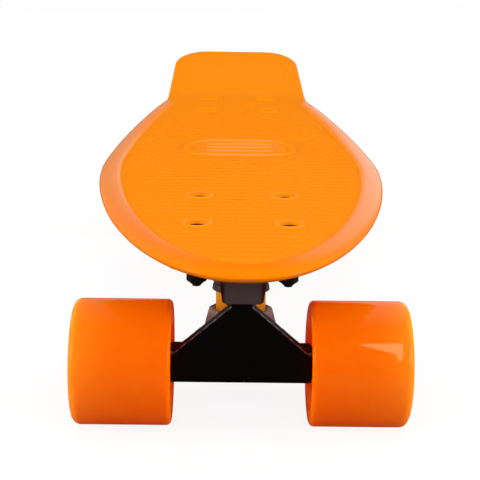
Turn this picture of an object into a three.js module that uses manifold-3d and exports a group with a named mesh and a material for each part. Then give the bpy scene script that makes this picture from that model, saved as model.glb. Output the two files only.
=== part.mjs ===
// Cruiser skateboard: a moulded plastic deck on two trucks, with four urethane wheels.
// Millimetres. X runs across the board, +Y to the tail and +Z up. The wheels stand on Z = 0,
// and the origin lies below the middle of the board's length.
import * as THREE from "three";
import { mergeVertices } from "three/addons/utils/BufferGeometryUtils.js";
import Module from "manifold-3d";

const wasm = await Module();
wasm.setup();

// Fits
const seatGap = 0.3;
const cutOverrun = 3;
const weldTolerance = 1e-4;

// Board outline
const boardLength = 559;
const boardWidth = 150;
const noseToWidest = 201;
const noseToTailRoot = 436;
const tailRootWidth = 102;
const tailEndWidth = 97;
const tailCornerWidth = 25;
const tailCornerLength = 32;
const noseLengthShare = 1.17;
const noseWidthShare = 0.962;
const waistShare = 1.5;

// Deck section
const padThickness = 15;
const skinThickness = 4.5;
const rimWidth = 11;
const rimHeight = 1;
const rimDepth = 6;
const rimRounding = 9;
const hollowInset = 12;
const bellyInset = 16;
const bellyDepth = 8.5;
const tailRimHeight = 0.2;
const rimFadeLength = 40;

// Kicktail
const kickLength = 123;
const kickBendRadius = 140;
const kickAngle = THREE.MathUtils.degToRad(10.5);

// Ribs under the deck
const ribThickness = 3;
const longRibSpacing = 32;
const crossRibSpacing = 55;
const padBorder = 3;

// Deck top details
const ringOuterRadius = 7.2;
const ringCrownRadius = 6.2;
const ringHeight = 0.8;
const standPadLength = 45;
const standPadWidth = 64;
const standPadToNose = 247;
const standPadCornerRadius = 18;
const standPadBorder = 3;
const standPadHeight = 1;
const standBarWidth = 4;
const standBarCount = 3;

// Truck layout, from the axle's centre
const wheelbase = 334;
const noseToFrontAxle = 87;
const truckHeight = 55.5;
const ringInward = 22;
const ringRise = 15.5;
const kingpinLean = THREE.MathUtils.degToRad(5.5);
const steerAngle = THREE.MathUtils.degToRad(37.5);

// Deck bolts and their lock nuts
const nutHexShare = 0.7;
const nutCollarShare = 0.7;
const boltPitchAcross = 41.3;
const boltPitchAlong = 54;
const boltPatternInward = 14.5;
const boltDiameter = 4.8;
const boltLength = 27;
const boltHeadDiameter = 9.4;
const boltHeadHeight = 2.6;
const boltHeadSink = 1.3;
const boltNutAcrossFlats = 8;
const boltNutHeight = 5.6;

// Baseplate
const plateThickness = 6;
const plateMargin = 9;
const plateCornerRadius = 8;
const tongueCornerRadius = 2;
const plateBevel = 0.8;
const pivotBossWidth = 19.4;
const pivotBossForward = 33;
const pivotBossDepth = 10;
const pivotBossRounding = 2.2;
const pivotBossWall = 1.8;
const kingpinBossRadius = 13.5;
const kingpinBossDraft = 1.5;

// Pivot
const pivotPinDiameter = 9.6;
const pivotMouthReach = 44;
const pivotCupLength = 9.5;
const pivotCupWall = 2;
const pivotCupFloor = 1.7;
const pivotRootReach = 36;
const pivotRootRadius = 7.2;
const pivotCoreReach = 22;

// Hanger
const hangerWidth = 80;
const housingSize = 16;
const housingCornerRadius = 3;
const housingLength = 66;
const housingNeckDiameter = 14;
const housingTaper = 4;
const webThickness = 6.5;
const webFootWidth = 62;
const webTopWidth = 9.6;
const webTopReach = 41.5;
const webShoulderDrop = 5;
const neckWidth = 26;
const gussetThickness = 8;
const ringHalfHeight = 4;
const ringTopRadius = 15.3;
const ringFootRadius = 17.3;
const seatDepth = 2;
const ringHoleRadius = 8;

// Kingpin and bushings, along the kingpin from the ring's centre
const kingpinDiameter = 9.52;
const kingpinHeadAcrossFlats = 14.3;
const kingpinHeadHeight = 6;
const kingpinHeadSink = 1;
const kingpinNutHeight = 10;
const kingpinTail = 2;
const upperBushingRadius = 12;
const upperBushingHeight = 12.5;
const lowerBushingRadius = 11.6;
const lowerBushingEndRadius = 9.4;
const lowerBushingHeight = 11.2;
const bushingChamfer = 0.8;
const cupWasherFloor = 1.5;
const cupWasherLip = 1.8;
const cupWasherWall = 1.5;

// Axle, wheels and bearings
const axleDiameter = 7.94;
const axleTail = 1.9;
const axleNutAcrossFlats = 12.7;
const axleNutHeight = 6.5;
const wheelDiameter = 59;
const wheelWidth = 46;
const wheelInnerFace = 32;
const wheelInnerRounding = 2.5;
const wheelOuterRounding = 4;
const wheelFaceRadius = 20;
const wheelFaceHollow = 1.2;
const wheelRecessRadius = 14.5;
const wheelCoreRadius = 8.5;
const bearingDiameter = 22;
const bearingWidth = 7;
const innerRaceDiameter = 12;
const spacerDiameter = 10.4;
const spacerLength = 10;
const speedWasherDiameter = 11;
const speedWasherThickness = 1;

// Facets
const noseSteps = 10;
const bodySteps = 12;
const tailSteps = 7;
const cornerSteps = 3;
const edgeSteps = 4;
const lipSteps = 2;
const domeSteps = 3;
const holeSides = 10;
const boreSides = 12;
const raceSides = 12;
const bushingSides = 14;
const wheelSides = 24;
const hexSides = 6;

// Places worked out from the sizes above
const noseY = -boardLength / 2;
const tailEndY = boardLength / 2;
const widestY = noseY + noseToWidest;
const tailRootY = noseY + noseToTailRoot;
const frontAxleY = noseY + noseToFrontAxle;
const rearAxleY = frontAxleY + wheelbase;
const axleHeight = wheelDiameter / 2;
const deckTop = axleHeight + truckHeight + padThickness;
const plateUnderside = truckHeight - plateThickness;
const boltRows = [boltPatternInward - boltPitchAlong / 2, boltPatternInward + boltPitchAlong / 2];
const boltSides = [-boltPitchAcross / 2, boltPitchAcross / 2];
const boltHoleRadius = boltDiameter / 2 + seatGap;
const axleBoreRadius = axleDiameter / 2 + seatGap;
const pivotBoreRadius = pivotPinDiameter / 2 + seatGap;
const pivotCupRadius = pivotBoreRadius + pivotCupWall;

// Finishes
const deckPlastic = new THREE.MeshStandardMaterial({ color: 0xfd8e16, roughness: 0.42 });
const wheelUrethane = new THREE.MeshStandardMaterial({ color: 0xf66b01, roughness: 0.2 });
const blackPaint = new THREE.MeshStandardMaterial({ color: 0x0c0a0b, roughness: 0.45, metalness: 0.3 });
const greyPaint = new THREE.MeshStandardMaterial({ color: 0x2e2426, roughness: 0.5, metalness: 0.3 });
const amberUrethane = new THREE.MeshStandardMaterial({ color: 0xd98a12, roughness: 0.3 });
const blackSteel = new THREE.MeshStandardMaterial({ color: 0x1d1718, roughness: 0.4, metalness: 0.8 });
const brightSteel = new THREE.MeshStandardMaterial({ color: 0xb4b7ba, roughness: 0.3, metalness: 1 });
const blackNylon = new THREE.MeshStandardMaterial({ color: 0x17171a, roughness: 0.6 });

// Solids and booleans
function solidOf(geometry) {
  const bare = geometry.clone();
  bare.deleteAttribute("normal");
  bare.deleteAttribute("uv");
  const merged = mergeVertices(bare, weldTolerance);
  const kept = [];
  const index = merged.index.array;
  for (let i = 0; i < index.length; i += 3) {
    const [a, b, c] = [index[i], index[i + 1], index[i + 2]];
    if (a !== b && b !== c && c !== a) kept.push(a, b, c);
  }
  return new wasm.Manifold(
    new wasm.Mesh({
      numProp: 3,
      vertProperties: new Float32Array(merged.attributes.position.array),
      triVerts: new Uint32Array(kept),
    }),
  );
}

function geometryOf(solid) {
  const mesh = solid.getMesh();
  const geometry = new THREE.BufferGeometry();
  geometry.setAttribute("position", new THREE.BufferAttribute(mesh.vertProperties, 3));
  geometry.setIndex(new THREE.BufferAttribute(mesh.triVerts, 1));
  geometry.computeVertexNormals();
  return geometry;
}

function joined(solids) {
  return solids.reduce((whole, next) => whole.add(next));
}

function without(solid, cuts) {
  return cuts.reduce((left, cut) => left.subtract(cut), solid);
}

// A profile of [radius, height] pairs, given anticlockwise, turned about Z.
function turned(profile, sides) {
  const points = profile.map(([radius, height]) => new THREE.Vector2(radius, height));
  if (profile[0][0] > 0) points.push(points[0].clone());
  const geometry = new THREE.LatheGeometry(points, sides);
  geometry.rotateX(Math.PI / 2);
  return geometry;
}

function cylinder(radius, bottom, top, sides) {
  return turned(
    [
      [0, bottom],
      [radius, bottom],
      [radius, top],
      [0, top],
    ],
    sides,
  );
}

// An outline of [y, z] pairs, as thick as width and centred on X = 0.
function sidePlate(outline, width, rounding = 0) {
  const shape = new THREE.Shape(outline.map(([y, z]) => new THREE.Vector2(y, z)));
  const geometry = new THREE.ExtrudeGeometry(shape, {
    depth: width - 2 * rounding,
    bevelEnabled: rounding > 0,
    bevelThickness: rounding,
    bevelSize: rounding,
    bevelOffset: -rounding,
    bevelSegments: 1,
  });
  geometry.translate(0, 0, rounding - width / 2);
  geometry.rotateX(Math.PI / 2);
  geometry.rotateZ(Math.PI / 2);
  return geometry;
}

// An outline of [x, z] pairs, drawn from front to back along Y.
function frontPlate(outline, front, back) {
  const shape = new THREE.Shape(outline.map(([x, z]) => new THREE.Vector2(x, z)));
  const geometry = new THREE.ExtrudeGeometry(shape, { depth: back - front, bevelEnabled: false });
  geometry.rotateX(Math.PI / 2);
  geometry.translate(0, back, 0);
  return geometry;
}

function roundedRectangle(left, right, front, back, radius) {
  const shape = new THREE.Shape();
  shape.moveTo(left + radius, front);
  shape.lineTo(right - radius, front);
  shape.absarc(right - radius, front + radius, radius, -Math.PI / 2, 0);
  shape.lineTo(right, back - radius);
  shape.absarc(right - radius, back - radius, radius, 0, Math.PI / 2);
  shape.lineTo(left + radius, back);
  shape.absarc(left + radius, back - radius, radius, Math.PI / 2, Math.PI);
  shape.lineTo(left, front + radius);
  shape.absarc(left + radius, front + radius, radius, Math.PI, Math.PI * 1.5);
  return shape;
}

function slab(shape, bottom, top, bevel = 0) {
  const geometry = new THREE.ExtrudeGeometry(shape, {
    depth: top - bottom - 2 * bevel,
    bevelEnabled: bevel > 0,
    bevelThickness: bevel,
    bevelSize: bevel,
    bevelOffset: -bevel,
    bevelSegments: 1,
    curveSegments: cornerSteps,
  });
  geometry.translate(0, 0, bottom + bevel);
  return geometry;
}

function box(left, right, front, back, bottom, top) {
  const geometry = new THREE.BoxGeometry(right - left, back - front, top - bottom);
  geometry.translate((left + right) / 2, (front + back) / 2, (bottom + top) / 2);
  return geometry;
}

// A lock nut on Z: a hexagon with its collar on top, bored to clear a shaft.
function lockNut(acrossFlats, height, shaftDiameter) {
  const flatToCorner = 1 / Math.cos(Math.PI / hexSides);
  const corner = (acrossFlats / 2) * flatToCorner;
  const bore = (shaftDiameter / 2 + seatGap) * flatToCorner;
  const collar = THREE.MathUtils.lerp(bore, corner, nutCollarShare);
  return turned(
    [
      [bore, 0],
      [corner, 0],
      [corner, height * nutHexShare],
      [collar, height],
      [bore, height],
    ],
    hexSides,
  );
}

// Deck

// How far the kicktail lifts the deck at a place along its length.
function kickRise(y) {
  const along = y - (tailEndY - kickLength);
  const bendLength = kickBendRadius * Math.sin(kickAngle);
  if (along <= 0) return 0;
  if (along < bendLength) return kickBendRadius - Math.sqrt(kickBendRadius ** 2 - along ** 2);
  return kickBendRadius * (1 - Math.cos(kickAngle)) + (along - bendLength) * Math.tan(kickAngle);
}

// The rim stands up round the deck and fades out where the kicktail begins.
function rimHeightAt(y) {
  const fade = THREE.MathUtils.smoothstep(y, tailRootY - rimFadeLength, tailRootY);
  return THREE.MathUtils.lerp(rimHeight, tailRimHeight, fade);
}

// The right half of the outline from nose tip to tail end.
function halfOutline() {
  const halfWidth = boardWidth / 2;
  const halfRoot = tailRootWidth / 2;
  const halfEnd = tailEndWidth / 2;
  const points = [new THREE.Vector2(0, noseY)];
  for (let i = 1; i <= noseSteps; i++) {
    const angle = ((Math.PI / 2) * i) / noseSteps;
    const x = halfWidth * Math.sin(angle) ** noseWidthShare;
    points.push(new THREE.Vector2(x, widestY - noseToWidest * Math.cos(angle) ** noseLengthShare));
  }
  for (let i = 1; i <= bodySteps; i++) {
    const share = i / bodySteps;
    const x = halfWidth - (halfWidth - halfRoot) * share ** waistShare;
    points.push(new THREE.Vector2(x, THREE.MathUtils.lerp(widestY, tailRootY, share)));
  }
  const cornerY = tailEndY - tailCornerLength;
  for (let i = 1; i < tailSteps; i++) {
    const share = i / tailSteps;
    const x = THREE.MathUtils.lerp(halfRoot, halfEnd, share);
    points.push(new THREE.Vector2(x, THREE.MathUtils.lerp(tailRootY, cornerY, share)));
  }
  for (let i = 0; i <= cornerSteps; i++) {
    const angle = ((Math.PI / 2) * i) / cornerSteps;
    const x = halfEnd - tailCornerWidth * (1 - Math.cos(angle));
    points.push(new THREE.Vector2(x, cornerY + tailCornerLength * Math.sin(angle)));
  }
  return points;
}

const outline = halfOutline();

// A closed loop at an inset from the outline: the tip, the right side, then the left side back.
function deckLoop(inset, heightAt) {
  const right = outline.map((point, i) => {
    const before = i > 0 ? outline[i - 1] : new THREE.Vector2(-outline[1].x, outline[1].y);
    const last = i === outline.length - 1;
    const after = last ? new THREE.Vector2(-point.x, point.y) : outline[i + 1];
    const along = after.clone().sub(before).normalize();
    const x = point.x - along.y * inset;
    const y = point.y + along.x * inset;
    return new THREE.Vector3(x, y, deckTop + heightAt(point.y) + kickRise(y));
  });
  const left = right.slice(1).reverse().map((p) => new THREE.Vector3(-p.x, p.y, p.z));
  return [...right, ...left];
}

// A closed skin over a row of loops, with both ends covered by strips across the board.
function loopSkin(loops) {
  const count = loops[0].length;
  const triangles = [];
  const add = (...corners) => triangles.push(...corners);
  const cover = (loop, flip) => {
    for (let i = 0; i < (count - 1) / 2; i++) {
      const [a, b, c, d] = [loop[i], loop[i + 1], loop[count - 1 - i], loop[(count - i) % count]];
      if (flip) add(a, c, b);
      else add(a, b, c);
      if (i > 0 && flip) add(a, d, c);
      else if (i > 0) add(a, c, d);
    }
  };
  cover(loops[0], false);
  cover(loops[loops.length - 1], true);
  for (let k = 1; k < loops.length; k++) {
    for (let i = 0; i < count; i++) {
      const next = (i + 1) % count;
      add(loops[k - 1][next], loops[k - 1][i], loops[k][i]);
      add(loops[k - 1][next], loops[k][i], loops[k][next]);
    }
  }
  const geometry = new THREE.BufferGeometry();
  const numbers = triangles.flatMap((p) => [p.x, p.y, p.z]);
  geometry.setAttribute("position", new THREE.Float32BufferAttribute(numbers, 3));
  return geometry;
}

function deckBody() {
  const loops = [deckLoop(rimWidth, () => 0)];
  for (let i = 0; i <= edgeSteps; i++) {
    const angle = Math.PI * (0.5 - i / edgeSteps);
    const inset = rimRounding * (1 - Math.cos(angle));
    const middle = (y) => (rimHeightAt(y) - rimDepth) / 2;
    const reach = (y) => (rimHeightAt(y) + rimDepth) / 2;
    loops.push(deckLoop(inset, (y) => middle(y) + reach(y) * Math.sin(angle)));
  }
  loops.push(deckLoop(bellyInset, () => -bellyDepth));
  return solidOf(loopSkin(loops));
}

function truckSpots() {
  return [
    { y: frontAxleY, inward: 1 },
    { y: rearAxleY, inward: -1 },
  ];
}

// The solid block under the deck that a baseplate bolts to.
function trucksPad(spot) {
  const halfWidth = boltPitchAcross / 2 + plateMargin + padBorder;
  const ends = [-pivotBossForward, boltRows[1] + plateMargin].map((y) => spot.y + spot.inward * y);
  const front = Math.min(...ends) - padBorder;
  const back = Math.max(...ends) + padBorder;
  const shape = roundedRectangle(-halfWidth, halfWidth, front, back, plateCornerRadius);
  return solidOf(slab(shape, deckTop - padThickness, deckTop - skinThickness / 2, plateBevel));
}

// The hollows between the ribs, open below.
function ribHollows(pads) {
  const depth = padThickness + cutOverrun;
  const ceiling = deckLoop(hollowInset, () => -skinThickness);
  const floor = deckLoop(hollowInset, () => -depth);
  const core = solidOf(loopSkin([ceiling, floor]));
  const low = deckTop - 2 * depth;
  const high = deckTop + 2 * depth;
  const ribs = [];
  const longCount = Math.floor(boardWidth / 2 / longRibSpacing);
  for (let i = -longCount; i <= longCount; i++) {
    const x = i * longRibSpacing;
    ribs.push(solidOf(box(x - ribThickness / 2, x + ribThickness / 2, noseY, tailEndY, low, high)));
  }
  const crossCount = Math.floor(boardLength / 2 / crossRibSpacing);
  for (let i = -crossCount; i <= crossCount; i++) {
    const y = i * crossRibSpacing;
    ribs.push(solidOf(box(-boardWidth, boardWidth, y - ribThickness / 2, y + ribThickness / 2, low, high)));
  }
  return without(without(core, ribs), pads);
}

// One raised ring round a bolt hole, and the hole with its countersink.
function boltRing() {
  return turned(
    [
      [0, -skinThickness],
      [ringOuterRadius, -skinThickness],
      [ringOuterRadius, 0],
      [ringCrownRadius, ringHeight],
      [0, ringHeight],
    ],
    boreSides,
  );
}

function boltSocket() {
  const headRadius = boltHeadDiameter / 2 + seatGap;
  return turned(
    [
      [0, -padThickness - cutOverrun],
      [boltHoleRadius, -padThickness - cutOverrun],
      [boltHoleRadius, -boltHeadSink - boltHeadHeight - seatGap],
      [headRadius, -boltHeadSink - seatGap],
      [headRadius, ringHeight + cutOverrun],
      [0, ringHeight + cutOverrun],
    ],
    holeSides,
  );
}

// A plain raised frame with grip bars, where a foot stands.
function standPad() {
  const y = noseY + standPadToNose;
  const [halfWidth, halfLength] = [standPadWidth / 2, standPadLength / 2];
  const frame = (halfX, halfY, radius) => roundedRectangle(-halfX, halfX, y - halfY, y + halfY, radius);
  const shape = frame(halfWidth, halfLength, standPadCornerRadius);
  const [innerWidth, innerLength] = [halfWidth - standPadBorder, halfLength - standPadBorder];
  shape.holes.push(frame(innerWidth, innerLength, standPadCornerRadius - standPadBorder));
  const bottom = deckTop - skinThickness / 2;
  const pieces = [solidOf(slab(shape, bottom, deckTop + standPadHeight))];
  const spacing = (2 * innerLength) / (standBarCount + 1);
  for (let i = 1; i <= standBarCount; i++) {
    const barY = y - innerLength + i * spacing;
    const halfBar = innerWidth - innerLength;
    const [barFront, barBack] = [barY - standBarWidth / 2, barY + standBarWidth / 2];
    pieces.push(solidOf(box(-halfBar, halfBar, barFront, barBack, bottom, deckTop + standPadHeight)));
  }
  return pieces;
}

function deckGeometry() {
  const pads = truckSpots().map(trucksPad);
  const rings = [];
  const sockets = [];
  for (const spot of truckSpots()) {
    for (const row of boltRows) {
      for (const x of boltSides) {
        const y = spot.y + spot.inward * row;
        rings.push(solidOf(boltRing().translate(x, y, deckTop)));
        sockets.push(solidOf(boltSocket().translate(x, y, deckTop)));
      }
    }
  }
  const ribbed = deckBody().subtract(ribHollows(pads));
  const whole = joined([ribbed, ...pads, ...rings, ...standPad()]);
  return geometryOf(without(whole, sockets));
}

// Fasteners of the deck
function deckBoltGeometry() {
  const radius = boltDiameter / 2;
  return turned(
    [
      [0, -boltLength],
      [radius, -boltLength],
      [radius, -boltHeadHeight],
      [boltHeadDiameter / 2, 0],
      [0, 0],
    ],
    holeSides,
  );
}

// Truck

// A place on the steering axis, at a reach from the ring's centre, shifted square to the axis.
function onSteerAxis(reach, shift = 0) {
  const y = ringInward - reach * Math.cos(steerAngle) + shift * Math.sin(steerAngle);
  const z = ringRise + reach * Math.sin(steerAngle) + shift * Math.cos(steerAngle);
  return [y, z];
}

// Pieces turned about the steering axis or the kingpin stand on the ring's centre.
function stoodOnSteerAxis(geometry) {
  return geometry.rotateX(Math.PI / 2 - steerAngle).translate(0, ringInward, ringRise);
}

function stoodOnKingpin(geometry) {
  return geometry.rotateX(-kingpinLean).translate(0, ringInward, ringRise);
}

// Heights along the kingpin from the ring's centre.
const upperSeat = ringHalfHeight - seatDepth + seatGap;
const upperBushingTop = upperSeat + upperBushingHeight;
const upperWasherTop = upperBushingTop + seatGap + cupWasherFloor;
const kingpinBossFoot = upperWasherTop + seatGap;
const plateTopOnKingpin = (truckHeight - ringRise) / Math.cos(kingpinLean);
const plateUndersideOnKingpin = (plateUnderside - ringRise) / Math.cos(kingpinLean);
const kingpinHeadTop = plateTopOnKingpin - kingpinHeadSink;
const kingpinHeadFoot = kingpinHeadTop - kingpinHeadHeight;
const lowerSeat = -upperSeat;
const lowerBushingFoot = lowerSeat - lowerBushingHeight;
const lowerWasherFoot = lowerBushingFoot - seatGap - cupWasherFloor;
const kingpinNutTop = lowerWasherFoot - seatGap;
const kingpinFoot = kingpinNutTop - kingpinNutHeight - kingpinTail;
const kingpinHoleRadius = kingpinDiameter / 2 + seatGap;

function pivotBoss() {
  const cornerShift = -pivotCupRadius - seatGap - pivotBossWall;
  const outlineOfBoss = [
    [-pivotBossForward, plateUnderside + plateThickness / 2],
    [-pivotBossForward, plateUnderside - pivotBossDepth],
    onSteerAxis(pivotMouthReach, cornerShift),
    onSteerAxis(pivotMouthReach, (plateUnderside - onSteerAxis(pivotMouthReach)[1]) / Math.cos(steerAngle)),
    [boltRows[0] + plateMargin, plateUnderside + plateThickness / 2],
  ];
  return solidOf(sidePlate(outlineOfBoss, pivotBossWidth, pivotBossRounding));
}

function kingpinBoss() {
  const top = plateUndersideOnKingpin + plateThickness / 2;
  return solidOf(
    stoodOnKingpin(
      turned(
        [
          [0, kingpinBossFoot],
          [kingpinBossRadius, kingpinBossFoot],
          [kingpinBossRadius + kingpinBossDraft, top],
          [0, top],
        ],
        bushingSides,
      ),
    ),
  );
}

function kingpinHead(gap) {
  const corner = (kingpinHeadAcrossFlats / 2 + gap) / Math.cos(Math.PI / hexSides);
  const top = gap > 0 ? plateTopOnKingpin + cutOverrun : kingpinHeadTop;
  return solidOf(stoodOnKingpin(cylinder(corner, kingpinHeadFoot - gap, top, hexSides)));
}

function baseplateGeometry() {
  const halfWidth = boltPitchAcross / 2 + plateMargin;
  const back = boltRows[1] + plateMargin;
  const front = boltRows[0] - plateMargin;
  const plate = roundedRectangle(-halfWidth, halfWidth, front, back, plateCornerRadius);
  const halfTongue = pivotBossWidth / 2 + plateBevel;
  const tongue = roundedRectangle(-halfTongue, halfTongue, -pivotBossForward, back / 2, tongueCornerRadius);
  const kingpinHoleFoot = kingpinBossFoot - cutOverrun;
  const cuts = [
    kingpinHead(seatGap),
    solidOf(stoodOnKingpin(cylinder(kingpinHoleRadius, kingpinHoleFoot, plateTopOnKingpin, boreSides))),
    solidOf(
      stoodOnSteerAxis(
        cylinder(
          pivotCupRadius + seatGap,
          pivotMouthReach - cutOverrun,
          pivotMouthReach + pivotCupLength + seatGap,
          boreSides,
        ),
      ),
    ),
  ];
  const [holeFoot, holeTop] = [plateUnderside - cutOverrun, truckHeight + cutOverrun];
  for (const y of boltRows) {
    for (const x of boltSides) {
      const hole = cylinder(boltHoleRadius, holeFoot, holeTop, holeSides);
      cuts.push(solidOf(hole.translate(x, y, 0)));
    }
  }
  const whole = joined([
    solidOf(slab(plate, plateUnderside, truckHeight, plateBevel)),
    solidOf(slab(tongue, plateUnderside, truckHeight, plateBevel)),
    pivotBoss(),
    kingpinBoss(),
  ]);
  return geometryOf(without(whole, cuts));
}

// The round end that a pin's tip and its cup share, from the rim to the pole.
function domeProfile(radius, poleReach) {
  const points = [];
  for (let i = 0; i <= domeSteps; i++) {
    const angle = ((Math.PI / 2) * i) / domeSteps;
    points.push([radius * Math.cos(angle), poleReach - radius * (1 - Math.sin(angle))]);
  }
  points[domeSteps][0] = 0;
  return points;
}

const pinPole = pivotMouthReach + pivotCupLength - pivotCupFloor - seatGap;

function pivotCupGeometry() {
  const end = pivotMouthReach + pivotCupLength;
  const cup = cylinder(pivotCupRadius, pivotMouthReach, end, boreSides);
  const bore = turned(
    [
      [0, pivotMouthReach - cutOverrun],
      [pivotBoreRadius, pivotMouthReach - cutOverrun],
      ...domeProfile(pivotBoreRadius, pinPole + seatGap),
    ],
    boreSides,
  );
  return geometryOf(solidOf(stoodOnSteerAxis(cup)).subtract(solidOf(stoodOnSteerAxis(bore))));
}

function hangerHousing() {
  const half = housingSize / 2;
  const shape = roundedRectangle(-half, half, -half, half, housingCornerRadius);
  const middle = slab(shape, -housingLength / 2, housingLength / 2);
  const neckRadius = housingNeckDiameter / 2;
  const taperFoot = housingLength / 2;
  const necks = turned(
    [
      [0, -hangerWidth / 2],
      [neckRadius, -hangerWidth / 2],
      [neckRadius, -taperFoot - housingTaper],
      [half, -taperFoot],
      [half, taperFoot],
      [neckRadius, taperFoot + housingTaper],
      [neckRadius, hangerWidth / 2],
      [0, hangerWidth / 2],
    ],
    boreSides,
  );
  return joined([middle, necks].map((piece) => solidOf(piece.rotateY(Math.PI / 2))));
}

// The triangular web, which stands on the housing and leans out to the pivot.
function hangerWeb() {
  const half = housingSize / 2;
  const [topY, topZ] = onSteerAxis(webTopReach, -pivotPinDiameter / 2);
  const side = sidePlate(
    [
      [-half, 0],
      [webThickness - half, 0],
      [topY + webThickness, topZ],
      [topY, topZ],
    ],
    webFootWidth,
  );
  const [foot, top] = [webFootWidth / 2, webTopWidth / 2];
  const face = frontPlate(
    [
      [-foot, 0],
      [foot, 0],
      [foot, half],
      [top, topZ - webShoulderDrop],
      [top, topZ],
      [-top, topZ],
      [-top, topZ - webShoulderDrop],
      [-foot, half],
    ],
    -pivotBossForward,
    ringInward,
  );
  return solidOf(side).intersect(solidOf(face));
}

function hangerNeck() {
  const half = housingSize / 2;
  const top = ringRise + ringHalfHeight - seatGap;
  const neck = box(-neckWidth / 2, neckWidth / 2, -half / 2, half, 0, top);
  const gusset = sidePlate(
    [
      [-half, 0],
      [half, 0],
      [half, top],
      onSteerAxis(pivotRootReach, -pivotRootRadius / 2),
      onSteerAxis(webTopReach, -pivotPinDiameter / 2),
    ],
    gussetThickness,
  );
  return solidOf(neck).add(solidOf(gusset));
}

function hangerRing() {
  return solidOf(
    stoodOnKingpin(
      turned(
        [
          [0, -ringHalfHeight],
          [ringFootRadius, -ringHalfHeight],
          [ringTopRadius, ringHalfHeight],
          [0, ringHalfHeight],
        ],
        bushingSides,
      ),
    ),
  );
}

function hangerPivot() {
  const radius = pivotPinDiameter / 2;
  return solidOf(
    stoodOnSteerAxis(
      turned(
        [
          [0, pivotCoreReach],
          [pivotRootRadius, pivotCoreReach],
          [pivotRootRadius, pivotRootReach],
          [radius, webTopReach],
          ...domeProfile(radius, pinPole),
        ],
        boreSides,
      ),
    ),
  );
}

function hangerGeometry() {
  const upperClear = upperBushingRadius + seatGap;
  const lowerClear = lowerBushingRadius + seatGap;
  const seatFloor = ringHalfHeight - seatDepth;
  const cuts = [
    cylinder(ringHoleRadius, -ringFootRadius, ringFootRadius, boreSides),
    cylinder(upperClear, seatFloor, kingpinBossFoot, bushingSides),
    cylinder(lowerClear, lowerWasherFoot, -seatFloor, bushingSides),
  ].map((cut) => solidOf(stoodOnKingpin(cut)));
  const axleReach = hangerWidth / 2 + cutOverrun;
  const axleBore = cylinder(axleBoreRadius, -axleReach, axleReach, holeSides);
  cuts.push(solidOf(axleBore.rotateY(Math.PI / 2)));
  const whole = joined([hangerHousing(), hangerWeb(), hangerNeck(), hangerRing(), hangerPivot()]);
  return geometryOf(without(whole, cuts));
}

function kingpinGeometry() {
  const shaftTop = kingpinHeadFoot + kingpinHeadHeight / 2;
  const shaft = cylinder(kingpinDiameter / 2, kingpinFoot, shaftTop, holeSides);
  return geometryOf(solidOf(stoodOnKingpin(shaft)).add(kingpinHead(0)));
}

function upperBushingGeometry() {
  const radius = upperBushingRadius;
  return stoodOnKingpin(
    turned(
      [
        [kingpinHoleRadius, upperSeat],
        [radius - bushingChamfer, upperSeat],
        [radius, upperSeat + bushingChamfer],
        [radius, upperBushingTop - bushingChamfer],
        [radius - bushingChamfer, upperBushingTop],
        [kingpinHoleRadius, upperBushingTop],
      ],
      bushingSides,
    ),
  );
}

function lowerBushingGeometry() {
  return stoodOnKingpin(
    turned(
      [
        [kingpinHoleRadius, lowerBushingFoot],
        [lowerBushingEndRadius, lowerBushingFoot],
        [lowerBushingEndRadius, lowerBushingFoot + cupWasherLip],
        [lowerBushingRadius, lowerSeat - seatDepth],
        [lowerBushingRadius, lowerSeat],
        [kingpinHoleRadius, lowerSeat],
      ],
      bushingSides,
    ),
  );
}

// A cup washer over a bushing's end: lip is +1 when its lip points up, and -1 when it points down.
function cupWasherGeometry(innerRadius, floor, lip) {
  const wall = innerRadius + seatGap;
  const outer = wall + cupWasherWall;
  const profile = [
    [kingpinHoleRadius, 0],
    [outer - cupWasherWall / 2, 0],
    [outer, cupWasherFloor + cupWasherLip],
    [wall, cupWasherFloor + cupWasherLip],
    [wall, cupWasherFloor],
    [kingpinHoleRadius, cupWasherFloor],
  ];
  const washer = turned(profile, bushingSides);
  if (lip < 0) washer.rotateX(Math.PI);
  return stoodOnKingpin(washer.translate(0, 0, floor));
}

// Wheel and bearings, turned about Z with the outer side up

const stackFoot = hangerWidth / 2 + seatGap;
const innerBearingFoot = stackFoot + speedWasherThickness;
const outerBearingFoot = innerBearingFoot + bearingWidth + spacerLength;
const stackTop = outerBearingFoot + bearingWidth + speedWasherThickness;
const axleEnd = stackTop + seatGap + axleNutHeight + axleTail;

function axleGeometry() {
  return cylinder(axleDiameter / 2, -axleEnd, axleEnd, holeSides).rotateY(Math.PI / 2);
}

function roundedCorner(radius, height, rounding, startAngle, steps) {
  const points = [];
  for (let i = 0; i <= steps; i++) {
    const angle = startAngle + ((Math.PI / 2) * i) / steps;
    points.push([radius + rounding * Math.cos(angle), height + rounding * Math.sin(angle)]);
  }
  return points;
}

function wheelGeometry() {
  const radius = wheelDiameter / 2;
  const seat = bearingDiameter / 2 + seatGap;
  const outerFace = wheelInnerFace + wheelWidth;
  const innerShoulder = innerBearingFoot + bearingWidth + seatGap;
  const outerShoulder = outerBearingFoot - seatGap;
  const inner = wheelInnerFace + wheelInnerRounding;
  const outer = outerFace - wheelOuterRounding;
  return turned(
    [
      [seat, innerBearingFoot],
      [wheelRecessRadius, innerBearingFoot],
      [wheelFaceRadius, wheelInnerFace + wheelFaceHollow],
      ...roundedCorner(radius - wheelInnerRounding, inner, wheelInnerRounding, -Math.PI / 2, lipSteps),
      ...roundedCorner(radius - wheelOuterRounding, outer, wheelOuterRounding, 0, lipSteps),
      [wheelFaceRadius, outerFace - wheelFaceHollow],
      [wheelRecessRadius, outerBearingFoot + bearingWidth],
      [seat, outerBearingFoot + bearingWidth],
      [seat, outerShoulder],
      [wheelCoreRadius, outerShoulder],
      [wheelCoreRadius, innerShoulder],
      [seat, innerShoulder],
    ],
    wheelSides,
  );
}

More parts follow.
